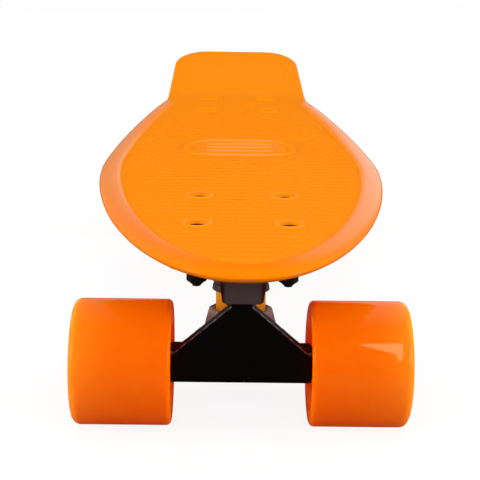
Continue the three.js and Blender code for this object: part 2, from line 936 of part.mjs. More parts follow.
// An outer race with its shields, closed round the balls and open at the inner race.
function bearingOuterGeometry() {
  const outer = bearingDiameter / 2;
  const shieldEdge = innerRaceDiameter / 2 + seatGap;
  const profile = [
    [shieldEdge, 0],
    [outer, 0],
    [outer, bearingWidth],
    [shieldEdge, bearingWidth],
  ];
  return turned(profile, raceSides);
}

// Speed washers, inner races and spacer, clamped on the axle as one stack.
function bearingStackGeometry() {
  const bore = axleBoreRadius;
  const washer = speedWasherDiameter / 2;
  const race = innerRaceDiameter / 2;
  const spacer = spacerDiameter / 2;
  return turned(
    [
      [bore, stackFoot],
      [washer, stackFoot],
      [washer, innerBearingFoot],
      [race, innerBearingFoot],
      [race, innerBearingFoot + bearingWidth],
      [spacer, innerBearingFoot + bearingWidth],
      [spacer, outerBearingFoot],
      [race, outerBearingFoot],
      [race, outerBearingFoot + bearingWidth],
      [washer, outerBearingFoot + bearingWidth],
      [washer, stackTop],
      [bore, stackTop],
    ],
    holeSides,
  );
}

// Assembly
function piece(name, geometry, material) {
  const mesh = new THREE.Mesh(geometry, material);
  mesh.name = name;
  return mesh;
}

const shapes = {
  deckBolt: deckBoltGeometry(),
  deckNut: lockNut(boltNutAcrossFlats, boltNutHeight, boltDiameter)
    .rotateX(Math.PI)
    .rotateZ(Math.PI / hexSides),
  baseplate: baseplateGeometry(),
  pivotCup: pivotCupGeometry(),
  hanger: hangerGeometry(),
  axle: axleGeometry(),
  kingpin: kingpinGeometry(),
  kingpinNut: stoodOnKingpin(
    lockNut(kingpinHeadAcrossFlats, kingpinNutHeight, kingpinDiameter)
      .rotateX(Math.PI)
      .translate(0, 0, kingpinNutTop),
  ),
  upperBushing: upperBushingGeometry(),
  lowerBushing: lowerBushingGeometry(),
  upperWasher: cupWasherGeometry(upperBushingRadius, upperWasherTop, -1),
  lowerWasher: cupWasherGeometry(lowerBushingEndRadius, lowerWasherFoot, 1),
  wheel: wheelGeometry(),
  bearingOuter: bearingOuterGeometry(),
  bearingStack: bearingStackGeometry(),
  axleNut: lockNut(axleNutAcrossFlats, axleNutHeight, axleDiameter),
};

// One wheel with what holds it, on a group whose Z points out along the axle.
function wheelSet(name) {
  const set = new THREE.Group();
  const inner = piece(name + "_inner_bearing", shapes.bearingOuter, brightSteel);
  inner.position.z = innerBearingFoot;
  const outer = piece(name + "_outer_bearing", shapes.bearingOuter, brightSteel);
  outer.position.z = outerBearingFoot;
  const nut = piece(name + "_axle_nut", shapes.axleNut, brightSteel);
  nut.position.z = stackTop + seatGap;
  set.add(piece(name + "_wheel", shapes.wheel, wheelUrethane));
  set.add(inner, outer, nut);
  set.add(piece(name + "_inner_races_and_spacer", shapes.bearingStack, brightSteel));
  return set;
}

function boltsAndNuts(name, inward) {
  const set = new THREE.Group();
  const nutTop = plateUnderside - seatGap;
  boltRows.forEach((y, row) => {
    boltSides.forEach((x) => {
      const side = x * inward < 0 ? "left" : "right";
      const end = row === 0 ? "outer" : "inner";
      const bolt = piece([name, end, side, "deck_bolt"].join("_"), shapes.deckBolt, blackSteel);
      bolt.position.set(x, y, truckHeight + padThickness - boltHeadSink);
      const nut = piece([name, end, side, "lock_nut"].join("_"), shapes.deckNut, blackSteel);
      nut.position.set(x, y, nutTop);
      set.add(bolt, nut);
    });
  });
  return set;
}

// A truck with its wheels: its Y points from the axle to the middle of the board.
function truck(name, spot) {
  const set = new THREE.Group();
  set.add(
    piece(name + "_baseplate", shapes.baseplate, greyPaint),
    piece(name + "_pivot_cup", shapes.pivotCup, blackNylon),
    piece(name + "_hanger", shapes.hanger, blackPaint),
    piece(name + "_axle", shapes.axle, brightSteel),
    piece(name + "_kingpin", shapes.kingpin, blackSteel),
    piece(name + "_kingpin_nut", shapes.kingpinNut, blackSteel),
    piece(name + "_upper_bushing", shapes.upperBushing, amberUrethane),
    piece(name + "_lower_bushing", shapes.lowerBushing, amberUrethane),
    piece(name + "_upper_cup_washer", shapes.upperWasher, greyPaint),
    piece(name + "_lower_cup_washer", shapes.lowerWasher, greyPaint),
    boltsAndNuts(name, spot.inward),
  );
  for (const side of [-1, 1]) {
    const wheels = wheelSet(name + (side * spot.inward < 0 ? "_left" : "_right"));
    wheels.rotation.y = (side * Math.PI) / 2;
    set.add(wheels);
  }
  set.position.set(0, spot.y, axleHeight);
  set.rotation.z = spot.inward > 0 ? 0 : Math.PI;
  return set;
}

const board = new THREE.Group();
board.name = "cruiser_skateboard";
const [frontSpot, rearSpot] = truckSpots();
board.add(piece("deck", deckGeometry(), deckPlastic));
board.add(truck("front", frontSpot), truck("rear", rearSpot));

export default board;
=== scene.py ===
# Cruiser skateboard: the looks of its pieces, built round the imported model.
# Pieces are drawn in millimetres, and set_in() puts them into the scene in metres.
import math

import bmesh
import bpy
import numpy as np
from mathutils import Matrix, Vector


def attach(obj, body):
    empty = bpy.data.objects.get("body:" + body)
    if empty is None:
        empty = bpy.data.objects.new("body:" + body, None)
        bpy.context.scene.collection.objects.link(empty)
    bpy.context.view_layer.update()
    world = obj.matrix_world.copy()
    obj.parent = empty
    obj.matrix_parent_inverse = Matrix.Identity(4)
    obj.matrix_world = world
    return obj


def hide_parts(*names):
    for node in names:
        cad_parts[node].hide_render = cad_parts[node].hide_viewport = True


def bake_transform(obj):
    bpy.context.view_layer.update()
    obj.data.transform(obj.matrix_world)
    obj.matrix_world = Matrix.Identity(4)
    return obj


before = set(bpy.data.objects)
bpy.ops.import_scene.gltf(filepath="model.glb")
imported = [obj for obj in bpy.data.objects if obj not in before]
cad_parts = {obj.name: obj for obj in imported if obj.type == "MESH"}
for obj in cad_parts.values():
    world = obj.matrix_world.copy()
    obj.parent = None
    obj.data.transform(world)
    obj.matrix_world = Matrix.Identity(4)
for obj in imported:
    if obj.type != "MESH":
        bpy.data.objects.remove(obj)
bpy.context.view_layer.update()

# Board outline and section
BOARD_LENGTH, BOARD_WIDTH = 559, 150
NOSE_TO_WIDEST, NOSE_TO_TAIL_ROOT = 201, 436
TAIL_ROOT_WIDTH, TAIL_END_WIDTH, TAIL_CORNER_WIDTH, TAIL_CORNER_LENGTH = 102, 97, 25, 32
NOSE_LENGTH_SHARE, NOSE_WIDTH_SHARE, WAIST_SHARE = 1.17, 0.962, 1.5
PAD_THICKNESS, SKIN_THICKNESS = 15, 4.5
RIM_WIDTH, RIM_HEIGHT, RIM_DEPTH, RIM_ROUNDING = 11, 1, 6, 9
HOLLOW_INSET, BELLY_INSET, BELLY_DEPTH = 12, 16, 8.5
TAIL_RIM_HEIGHT, RIM_FADE_LENGTH = 0.2, 40
TAIL_ROOT_Y = NOSE_TO_TAIL_ROOT - BOARD_LENGTH / 2
KICK_LENGTH, KICK_BEND_RADIUS, KICK_ANGLE = 123, 140, math.radians(10.5)
RIB_THICKNESS, LONG_RIB_SPACING, CROSS_RIB_SPACING = 3, 32, 55

# The clearance where pieces meet, and how far a cut runs past what it cuts
GAP, OVERRUN = 0.3, 3

# Deck top
RING_RADIUS, RING_HEIGHT = 7.2, 0.8
BOLT_HOLE_RADIUS, BOLT_SEAT_RADIUS, BOLT_MOUTH_RADIUS = 2.7, 4.8, 5.45
DECK_BOLT_RADIUS, DECK_BOLT_SINK, DECK_NUT_ACROSS, DECK_NUT_HEIGHT = 2.4, 1.3, 8, 6.3
STAND_PAD_Y, STAND_PAD_LENGTH, STAND_PAD_WIDTH = -32.5, 45, 64
STAND_PAD_CORNER, STAND_PAD_BORDER, STAND_PAD_RISE = 18, 3, 0.35
STAND_BARS, STAND_BAR_HALF_WIDTH, STAND_BAR_HEIGHT, STAND_BAR_SHARE = 3, 2, 1, 0.62
WAFFLE_PITCH, WAFFLE_WIDTH, WAFFLE_LENGTH, WAFFLE_HEIGHT = 7, 6.5, 5.8, 0.14
WAFFLE_RIM_MARGIN, WAFFLE_PAD_MARGIN, WAFFLE_RING_MARGIN, WAFFLE_KICK_MARGIN = 0.8, 4, 0.6, 8

# Where the deck's colour and gloss change: in from its edge, above its top, along X, and along Y
RIM_EDGE_FADE, RAISED_GLOSS, BAR_GLOSS_FADE = 1.2, (0.25, 0.7), (14, 27)
FAR_GLOSS_FADE, RIM_FALL_CHANGE, RIM_COLOUR_AND_SHADE_FADE = (-20, 80), (-60, 60), (-220, -120)
BAR_GLOSS_SHARE, RING_GLOSS_SHARE = 0.95, 0.35
RIM_TAIL_NARROWING, RIM_FAR_PALENESS, RIM_NOSE_FALL, RIM_FALL_GAIN = 0.8, 0.65, 0.3, 0.6

# Trucks, from the axle's centre
FRONT_AXLE_Y, REAR_AXLE_Y, AXLE_HEIGHT = -192.5, 141.5, 29.5
TRUCK_HEIGHT, RING_INWARD, RING_RISE = 55.5, 22, 15.5
KINGPIN_LEAN, STEER_ANGLE = math.radians(5.5), math.radians(37.5)
DECK_TOP = AXLE_HEIGHT + TRUCK_HEIGHT + PAD_THICKNESS
BOLT_ROWS, BOLT_SIDES = (-12.5, 41.5), (-20.65, 20.65)
PLATE_UNDERSIDE, PLATE_MARGIN, PLATE_CORNER = 49.5, 9, 8
PIVOT_BOSS_WIDTH, PIVOT_BOSS_FORWARD, PIVOT_BOSS_DEPTH, PIVOT_BOSS_DRAFT = 19.4, 33, 10, 0.014
KINGPIN_BOSS_RADIUS, KINGPIN_BOSS_DRAFT = 13.5, 1.5
PIVOT_MOUTH, PIVOT_CUP_LENGTH, PIVOT_CUP_RADIUS, PIVOT_PIN_RADIUS = 44, 9.5, 7.1, 4.8
HANGER_WIDTH, HOUSING_SIZE, HOUSING_LENGTH, HOUSING_CORNER = 80, 16, 66, 3
NECK_RADIUS, NECK_TAPER = 7, 4
WEB_FOOT, WEB_TOP, WEB_TOP_REACH, WEB_SHOULDER, WEB_THICKNESS = 62, 9.6, 41.5, 5, 6.5
RING_TOP_RADIUS, RING_FOOT_RADIUS, RING_HALF_HEIGHT, SEAT_DEPTH = 15.3, 17.3, 4, 2
KINGPIN_RADIUS, KINGPIN_THREAD_LENGTH, KINGPIN_THREAD_PITCH = 4.76, 12, 1.06
KINGPIN_HEAD_ACROSS, KINGPIN_HEAD_HEIGHT, KINGPIN_HEAD_SINK, KINGPIN_NUT_HEIGHT = 14.3, 6, 1, 10
UPPER_BUSHING_RADIUS, UPPER_BUSHING_HEIGHT = 12, 12.5
LOWER_BUSHING_RADIUS, LOWER_BUSHING_END, LOWER_BUSHING_HEIGHT = 11.6, 9.4, 11.2
WASHER_FLOOR, WASHER_LIP, WASHER_WALL = 1.5, 1.8, 1.5
UPPER_SEAT = RING_HALF_HEIGHT - SEAT_DEPTH + GAP
UPPER_TOP = UPPER_SEAT + UPPER_BUSHING_HEIGHT
UPPER_WASHER_TOP = UPPER_TOP + GAP + WASHER_FLOOR
BOSS_FOOT = UPPER_WASHER_TOP + GAP
LOWER_SEAT = -UPPER_SEAT
LOWER_FOOT = LOWER_SEAT - LOWER_BUSHING_HEIGHT
LOWER_WASHER_FOOT = LOWER_FOOT - GAP - WASHER_FLOOR
KINGPIN_NUT_TOP = LOWER_WASHER_FOOT - GAP
PLATE_TOP_ON_KINGPIN = (TRUCK_HEIGHT - RING_RISE) / math.cos(KINGPIN_LEAN)

# Wheels and bearings, out along the axle
WHEEL_RADIUS, WHEEL_INNER, WHEEL_OUTER = 29.5, 32, 78
STACK_FOOT, INNER_BEARING, OUTER_BEARING, STACK_TOP = 40.3, 41.3, 58.3, 66.3
BEARING_RADIUS, BEARING_WIDTH = 11, 7
AXLE_RADIUS, AXLE_THREAD_PITCH, AXLE_HALF_LENGTH = 3.97, 1.06, 75
AXLE_NUT_ACROSS, AXLE_NUT_HEIGHT = 12.7, 6.5
HUB_RADIUS, HUB_MOUTH_RADIUS, HUB_MOUTH_FOOT, HUB_STEPS = 14.7, 20, 33.2, 6


# Shapes: a pair of points and faces in millimetres

def turned(profile, sides=64):
    """A profile of (radius, height), given anticlockwise, turned about Z, and closed if it starts off Z."""
    points, faces, rings = [], [], []
    for radius, height in profile:
        if radius <= 0:
            rings.append([len(points)] * sides)
            points.append((0, 0, height))
            continue
        rings.append(list(range(len(points), len(points) + sides)))
        for i in range(sides):
            angle = 2 * math.pi * i / sides
            points.append((radius * math.cos(angle), radius * math.sin(angle), height))
    if profile[0][0] > 0:
        rings.append(rings[0])
    for low, high in zip(rings, rings[1:]):
        for i in range(sides):
            j = (i + 1) % sides
            face = [low[i], low[j], high[j], high[i]]
            face = [v for k, v in enumerate(face) if v != face[k - 1]]
            if len(face) > 2:
                faces.append(face)
    return np.array(points, float), faces


def prism(outline, low, high):
    """An outline of (x, y), given anticlockwise, drawn up along Z."""
    n = len(outline)
    points = [(x, y, low) for x, y in outline] + [(x, y, high) for x, y in outline]
    faces = [list(range(n))[::-1], list(range(n, 2 * n))]
    faces += [[i, (i + 1) % n, n + (i + 1) % n, n + i] for i in range(n)]
    return np.array(points, float), faces


def box(left, right, front, back, low, high):
    return prism([(left, front), (right, front), (right, back), (left, back)], low, high)


def moved(shape, matrix):
    points, faces = shape
    turn = np.array(matrix.to_3x3(), float)
    return points @ turn.T + np.array(matrix.translation, float), faces


def together(*shapes):
    points, faces, count = [], [], 0
    for more, rest in shapes:
        points.append(more)
        faces += [[v + count for v in face] for face in rest]
        count += len(more)
    return np.vstack(points), faces


def side_plate(outline, width):
    """An outline of (y, z), as thick as width and centred on X = 0."""
    to_side = Matrix(((0, 0, 1, 0), (1, 0, 0, 0), (0, 1, 0, 0), (0, 0, 0, 1)))
    return moved(prism(outline, -width / 2, width / 2), to_side)


def front_plate(outline, front, back):
    """An outline of (x, z), drawn from front to back along Y."""
    to_front = Matrix(((1, 0, 0, 0), (0, 0, -1, 0), (0, 1, 0, 0), (0, 0, 0, 1)))
    return moved(prism(outline, -back, -front), to_front)


def rounded_rectangle(half_width, front, back, radius, steps=6):
    outline = []
    corners = (
        (half_width - radius, front + radius, -90),
        (half_width - radius, back - radius, 0),
        (radius - half_width, back - radius, 90),
        (radius - half_width, front + radius, 180),
    )
    for x, y, start in corners:
        for i in range(steps + 1):
            angle = math.radians(start + 90 * i / steps)
            outline.append((x + radius * math.cos(angle), y + radius * math.sin(angle)))
    return outline


def mesh_of(shape, name="piece"):
    mesh = bpy.data.meshes.new(name)
    mesh.from_pydata([tuple(p) for p in shape[0]], [], shape[1])
    mesh.update()
    return mesh


def shape_of(obj):
    """The shape that an object has once its modifiers are worked out."""
    graph = bpy.context.evaluated_depsgraph_get()
    mesh = obj.evaluated_get(graph).to_mesh()
    points = np.array([v.co for v in mesh.vertices], float)
    return points, [list(p.vertices) for p in mesh.polygons]


def worked(shape, *steps):
    """The shape after modifiers, each given as its type and its settings."""
    obj = bpy.data.objects.new("work", mesh_of(shape))
    bpy.context.scene.collection.objects.link(obj)
    for kind, settings in steps:
        modifier = obj.modifiers.new(kind.lower(), kind)
        for key, value in settings.items():
            setattr(modifier, key, value)
    made = shape_of(obj)
    bpy.data.objects.remove(obj)
    return made


def combined(shape, other, operation):
    """The union of two shapes, what is left of one, or what they share."""
    tool = bpy.data.objects.new("tool", mesh_of(other))
    bpy.context.scene.collection.objects.link(tool)
    settings = {"operation": operation, "object": tool, "solver": "EXACT", "use_self": True}
    made = worked(shape, ("BOOLEAN", settings))
    bpy.data.objects.remove(tool)
    return made


def cast(shape, voxel=0.6, rounds=3):
    """A casting's skin: the shapes run together, with soft edges and fillets."""
    remesh = {"mode": "VOXEL", "voxel_size": voxel}
    return worked(shape, ("REMESH", remesh), ("SMOOTH", {"factor": 0.5, "iterations": rounds}))


TRUCK_FRAMES = {
    "front": Matrix.Translation((0, FRONT_AXLE_Y, AXLE_HEIGHT)),
    "rear": Matrix.Translation((0, REAR_AXLE_Y, AXLE_HEIGHT)) @ Matrix.Rotation(math.pi, 4, "Z"),
}


def set_in(name, shape, material, body, stands_for, place=None, sharp=35):
    """Makes a piece of the shape, in metres, on its body if it has only one."""
    if place is not None:
        shape = moved(shape, place)
    mesh = mesh_of((shape[0] / 1000, shape[1]), name)
    mesh.materials.append(material)
    bm = bmesh.new()
    bm.from_mesh(mesh)
    bmesh.ops.remove_doubles(bm, verts=bm.verts, dist=1e-7)
    limit = math.radians(sharp)
    for edge in bm.edges:
        edge.smooth = edge.calc_face_angle(math.pi) < limit
    for face in bm.faces:
        face.smooth = True
    bm.to_mesh(mesh)
    bm.free()
    obj = bpy.data.objects.new(name, mesh)
    bpy.context.scene.collection.objects.link(obj)
    if body:
        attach(obj, body)
    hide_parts(*stands_for)
    return obj


# Materials

def node_in(tree, kind, settings=None, out=0, **values):
    """A new node's output, after its settings and its sockets, by name or as i0, i1 and so on."""
    node = tree.nodes.new("ShaderNode" + kind)
    for key, value in (settings or {}).items():
        setattr(node, key, value)
    for key, value in values.items():
        index = int(key[1:]) if key[0] == "i" and key[1:].isdigit() else key.replace("_", " ")
        put(tree, node.inputs[index], value)
    return Value(tree, node.outputs[out])


class Value:
    """A node's socket that can be added, multiplied and so on."""

    def __init__(self, tree, socket):
        self.tree, self.socket = tree, socket

    def math(self, operation, *others):
        """The value worked with others, itself first."""
        inputs = {f"i{index}": value for index, value in enumerate((self, *others))}
        return node_in(self.tree, "Math", {"operation": operation}, **inputs)

    def __add__(self, other):
        return self.math("ADD", other)

    def __sub__(self, other):
        return self.math("SUBTRACT", other)

    def __rsub__(self, other):
        return self.math("MULTIPLY_ADD", -1, other)

    def __mul__(self, other):
        return self.math("MULTIPLY", other)

    __radd__ = __add__
    __rmul__ = __mul__


def put(tree, socket, value):
    if isinstance(value, Value):
        tree.links.new(value.socket, socket)
    elif isinstance(value, tuple) and len(value) == 3 and socket.type == "RGBA":
        socket.default_value = (*value, 1)
    else:
        socket.default_value = value


class Finish:
    """A material under way: its nodes, and the shader that they feed."""

    def __init__(self, name, **sockets):
        self.material = bpy.data.materials.new(name)
        self.material.use_nodes = True
        self.tree = self.material.node_tree
        self.shader = self.tree.nodes["Principled BSDF"]
        self.set(**sockets)

    def set(self, **sockets):
        for name, value in sockets.items():
            put(self.tree, self.shader.inputs[name.replace("_", " ")], value)

    def add(self, kind, settings=None, out=0, **values):
        return node_in(self.tree, kind, settings, out, **values)

    def share(self, name):
        """What each vertex of the piece says under a name."""
        return self.add("Attribute", {"attribute_name": name}, out=2)

    def place(self):
        """Where a point of the piece is, as a vector."""
        return self.add("TexCoord", out=3)

    def noise(self, scale, detail=2.0, roughness=0.5):
        """A soft random value from 0 to 1; scale is its lumps in a metre."""
        return self.add("TexNoise", Vector=self.place(), Scale=scale, Detail=detail, Roughness=roughness)

    def spread(self, share, low, high):
        """A value from low to high, by a share."""
        return share * (high - low) + low

    def between(self, share, first, second):
        """A colour between two, by a share."""
        return self.add("Mix", {"data_type": "RGBA"}, out=2, i0=share, i6=first, i7=second)

    def bump(self, height, strength, distance):
        normal = self.add("Bump", Height=height, Strength=strength, Distance=distance)
        self.set(Normal=normal)


def plastic_finish():
    """Moulded orange plastic: satin on top, glossier round the rim, and a deeper orange round the rim that is
    partly its own colour and partly painted shade.
    """
    finish = Finish("deck plastic", Specular_IOR_Level=0.0, Coat_Roughness=0.16, Coat_IOR=1.5)
    top = finish.between(finish.noise(14), (0.99, 0.262, 0.004), (0.99, 0.28, 0.007))
    finish.set(
        # The rim's deeper orange: partly its own colour, partly painted shade on the nose's edge
        Base_Color=finish.between(finish.share("rim_colour_and_shade_share"), top, (0.99, 0.215, 0.002)),
        Roughness=finish.spread(finish.noise(900), 0.42, 0.56),
        Coat_Weight=finish.share("gloss_share") * 0.86 + 0.02,
    )
    finish.bump(finish.noise(1500, 3), 0.12, 0.0002)
    return finish.material


def urethane_finish(name, light, deep, scatter, depth, painted_glow, edge=None):
    """Cast urethane: light goes into it and comes out redder, a red emission paints a glow of light come
    through it, and a paler colour near an outer edge is painted light.
    """
    # The red emission is a painted glow: the urethane shines as though lit through, though it is no lamp
    finish = Finish(
        name, Subsurface_Weight=scatter, Subsurface_Radius=(1.0, 0.25, 0.05), Subsurface_Scale=depth,
        Specular_IOR_Level=0.0, Coat_Weight=0.4, Coat_Roughness=0.01,
        Emission_Color=(1, 0.02, 0), Emission_Strength=painted_glow,
    )
    colour = finish.between(finish.noise(45), light, deep)
    # Paler towards the wheel's outer side: painted light on its outer edge
    if edge:
        across = finish.add("SeparateXYZ", Vector=finish.place())
        share = across.math("ABSOLUTE") * (1000 / WHEEL_OUTER)
        colour = finish.between(share.math("POWER", 8), colour, edge)
    finish.set(Base_Color=colour, Roughness=finish.spread(finish.noise(260), 0.25, 0.37))
    finish.bump(finish.noise(180, 3), 0.06, 0.0004)
    return finish.material


def paint_finish(name, light, deep, coat, roughness, grain, painted_light_colour=None):
    """Sprayed paint with its fine orange peel, and a second colour where a vertex share says, which paints in
    highlight on the hanger and shade on the boss.
    """
    finish = Finish(name, Specular_IOR_Level=0.0, Coat_Weight=coat, Coat_Roughness=roughness)
    colour = finish.between(finish.noise(90), light, deep)
    if painted_light_colour:
        # The share mixes in a colour that paints in light or shade
        share = finish.share("painted_light_share") * finish.spread(finish.noise(700, 4), 0.7, 1.2)
        colour = finish.between(share, colour, painted_light_colour)
    finish.set(
        Base_Color=colour,
        Roughness=finish.spread(finish.noise(400), roughness - 0.06, roughness + 0.08),
    )
    finish.bump(finish.noise(1100, 3), grain, 0.0003)
    return finish.material


def steel_finish(name, light, deep, roughness):
    """Plain steel with a fine grain."""
    finish = Finish(name, Metallic=1.0)
    finish.set(
        Base_Color=finish.between(finish.noise(120), light, deep),
        Roughness=finish.spread(finish.noise(700), roughness - 0.07, roughness + 0.1),
    )
    finish.bump(finish.noise(2400, 2), 0.1, 0.0001)
    return finish.material


deck_plastic = plastic_finish()
# The wheels' red emission is a painted glow, their base colour is lowered to make room for it, and their
# paler outer edge is painted light
wheel_urethane = urethane_finish(
    "wheel urethane", (0.58, 0.156, 0.0004), (0.54, 0.134, 0.0002),
    scatter=0.9, depth=0.012, painted_glow=0.41, edge=(0.66, 0.27, 0.012),
)
amber_urethane = urethane_finish(
    "amber urethane", (0.76, 0.28, 0.01), (0.68, 0.23, 0.007), scatter=0.35, depth=0.004, painted_glow=0.0,
)
# The hanger's pale second colour is a painted highlight on the kingpin ring and the web's edges, and a
# painted reflection of the orange deck on its upward faces
hanger_paint = paint_finish(
    "hanger paint", (0.003, 0.0012, 0.0016), (0.002, 0.0008, 0.001),
    coat=0.25, roughness=0.28, grain=0.1, painted_light_colour=(0.52, 0.4, 0.37),
)
grey_paint = paint_finish(
    "grey paint", (0.06, 0.04, 0.041), (0.054, 0.034, 0.036), coat=0.5, roughness=0.35, grain=0.2,
)
# The boss paint's near-black second colour is painted shade down the sides of the pivot boss
boss_paint = paint_finish(
    "boss paint", (0.078, 0.05, 0.051), (0.07, 0.043, 0.045),
    coat=0.4, roughness=0.35, grain=0.2, painted_light_colour=(0.03, 0.001, 0.002),
)
black_steel = paint_finish(
    "black steel", (0.01, 0.007, 0.007), (0.006, 0.004, 0.005), coat=0.4, roughness=0.2, grain=0.1,
)
bright_steel = steel_finish("bright steel", (0.56, 0.57, 0.58), (0.46, 0.47, 0.48), roughness=0.28)
shield_steel = steel_finish("bearing shield", (0.4, 0.41, 0.42), (0.32, 0.33, 0.34), roughness=0.36)
black_nylon = paint_finish(
    "black nylon", (0.014, 0.014, 0.016), (0.009, 0.009, 0.011), coat=0.2, roughness=0.5, grain=0.15,
)


# Deck

def kick_rise(y):
    along = y - (BOARD_LENGTH / 2 - KICK_LENGTH)
    bend = KICK_BEND_RADIUS * math.sin(KICK_ANGLE)
    if along <= 0:
        return 0
    if along < bend:
        return KICK_BEND_RADIUS - math.sqrt(KICK_BEND_RADIUS**2 - along**2)
    return KICK_BEND_RADIUS * (1 - math.cos(KICK_ANGLE)) + (along - bend) * math.tan(KICK_ANGLE)


def smooth_step(value, low, high):
    share = min(max((value - low) / (high - low), 0), 1)
    return share * share * (3 - 2 * share)


def rim_height(y):
    fade = smooth_step(y, TAIL_ROOT_Y - RIM_FADE_LENGTH, TAIL_ROOT_Y)
    return RIM_HEIGHT + (TAIL_RIM_HEIGHT - RIM_HEIGHT) * fade


def half_outline():
    """The outline's right half from nose tip to tail end, as finely as it is shown."""
    half, root, end = BOARD_WIDTH / 2, TAIL_ROOT_WIDTH / 2, TAIL_END_WIDTH / 2
    nose_steps, waist_steps, tail_steps, corner_steps = 40, 36, 24, 12
    nose_y, tail_y = -BOARD_LENGTH / 2, BOARD_LENGTH / 2
    widest_y = nose_y + NOSE_TO_WIDEST
    points = [(0, nose_y)]
    for i in range(1, nose_steps + 1):
        angle = math.pi / 2 * i / nose_steps
        x = half * math.sin(angle) ** NOSE_WIDTH_SHARE
        points.append((x, widest_y - NOSE_TO_WIDEST * math.cos(angle) ** NOSE_LENGTH_SHARE))
    for i in range(1, waist_steps + 1):
        share = i / waist_steps
        x = half - (half - root) * share**WAIST_SHARE
        points.append((x, widest_y + (TAIL_ROOT_Y - widest_y) * share))
    corner_y = tail_y - TAIL_CORNER_LENGTH
    for i in range(1, tail_steps):
        share = i / tail_steps
        points.append((root + (end - root) * share, TAIL_ROOT_Y + (corner_y - TAIL_ROOT_Y) * share))
    for i in range(corner_steps + 1):
        angle = math.pi / 2 * i / corner_steps
        x = end - TAIL_CORNER_WIDTH * (1 - math.cos(angle))
        points.append((x, corner_y + TAIL_CORNER_LENGTH * math.sin(angle)))
    return np.array(points, float)


OUTLINE = half_outline()


def outline_normals():
    before = np.vstack([[-OUTLINE[1, 0], OUTLINE[1, 1]], OUTLINE[:-1]])
    after = np.vstack([OUTLINE[1:], [-OUTLINE[-1, 0], OUTLINE[-1, 1]]])
    along = after - before
    along /= np.linalg.norm(along, axis=1)[:, None]
    return np.stack([-along[:, 1], along[:, 0]], axis=1)


NORMALS = outline_normals()


def deck_loop(inset, height):
    """A closed loop at an inset from the outline: the tip, the right side, then the left back."""
    right = []
    for (x, y), (nx, ny) in zip(OUTLINE, NORMALS):
        px, py = max(x + nx * inset, 0) if x > 0 else 0, y + ny * inset
        right.append((px, py, DECK_TOP + height(y) + kick_rise(py)))
    left = [(-x, y, z) for x, y, z in reversed(right[1:])]
    return right + left


def loop_skin(loops):
    """A closed skin over a row of loops, with strips across the board at both ends."""
    count = len(loops[0])
    points = np.array([p for loop in loops for p in loop], float)
    faces = []

    def cover(base, flip):
        for i in range((count - 1) // 2):
            face = [base + i, base + i + 1, base + count - 1 - i]
            if i > 0:
                face.append(base + (count - i) % count)
            faces.append(face[::-1] if flip else face)

    cover(0, False)
    cover(count * (len(loops) - 1), True)
    for k in range(1, len(loops)):
        for i in range(count):
            j = (i + 1) % count
            faces.append([(k - 1) * count + j, (k - 1) * count + i, k * count + i, k * count + j])
    return points, faces


def edge_height(y, angle):
    """The height of the rounded edge at an angle, from its crown down to its foot."""
    rise = rim_height(y)
    return (rise - RIM_DEPTH) / 2 + (rise + RIM_DEPTH) / 2 * math.sin(angle)


def deck_body():
    """The board's skin, as loops from its flat top over the rim and round the edge to its belly."""
    top_insets, edge_steps = (RIM_WIDTH + 3, RIM_WIDTH + 0.8), 14
    rim_foot = ((RIM_WIDTH, 0.1), (RIM_WIDTH - 0.7, 0.5), (RIM_WIDTH - 1.4, 0.88))
    belly = ((BELLY_INSET - 1, 0.4), (BELLY_INSET, 0), (BELLY_INSET + 2, 0))
    loops = [deck_loop(inset, lambda y: 0) for inset in top_insets]
    for inset, share in rim_foot:
        loops.append(deck_loop(inset, lambda y, s=share: rim_height(y) * s))
    for i in range(edge_steps + 1):
        angle = math.pi * (0.5 - i / edge_steps)
        inset = RIM_ROUNDING * (1 - math.cos(angle))
        loops.append(deck_loop(inset, lambda y, a=angle: edge_height(y, a)))
    for inset, rise in belly:
        loops.append(deck_loop(inset, lambda y, r=rise: r - BELLY_DEPTH))
    return loop_skin(loops)


def truck_spots():
    """Each truck's axle, and which way along Y is inward from it."""
    return ((FRONT_AXLE_Y, 1), (REAR_AXLE_Y, -1))


def truck_pad(axle_y, inward):
    spread = 3
    ends = [axle_y + inward * y for y in (-PIVOT_BOSS_FORWARD, BOLT_ROWS[1] + PLATE_MARGIN)]
    half = BOLT_SIDES[1] + PLATE_MARGIN + spread
    outline = rounded_rectangle(half, min(ends) - spread, max(ends) + spread, PLATE_CORNER)
    return prism(outline, DECK_TOP - PAD_THICKNESS, DECK_TOP - SKIN_THICKNESS / 2)


def ribbed_underside(body):
    """The body with the hollows between its ribs taken out, and the truck pads put in."""
    ceiling = deck_loop(HOLLOW_INSET, lambda y: -SKIN_THICKNESS)
    floor = deck_loop(HOLLOW_INSET, lambda y: -PAD_THICKNESS - OVERRUN)
    core = loop_skin([ceiling, floor])
    half, top = RIB_THICKNESS / 2, 2 * DECK_TOP
    long_ribs = [i * LONG_RIB_SPACING for i in range(-2, 3)]
    cross_ribs = [i * CROSS_RIB_SPACING for i in range(-5, 6)]
    ribs = [box(x - half, x + half, -BOARD_LENGTH, BOARD_LENGTH, 0, top) for x in long_ribs]
    ribs += [box(-BOARD_WIDTH, BOARD_WIDTH, y - half, y + half, 0, top) for y in cross_ribs]
    hollows = combined(core, together(*ribs), "DIFFERENCE")
    ribbed = combined(body, hollows, "DIFFERENCE")
    return combined(ribbed, together(*[truck_pad(*spot) for spot in truck_spots()]), "UNION")


def bolt_places():
    for axle_y, inward in truck_spots():
        for row in BOLT_ROWS:
            for x in BOLT_SIDES:
                yield x, axle_y + inward * row


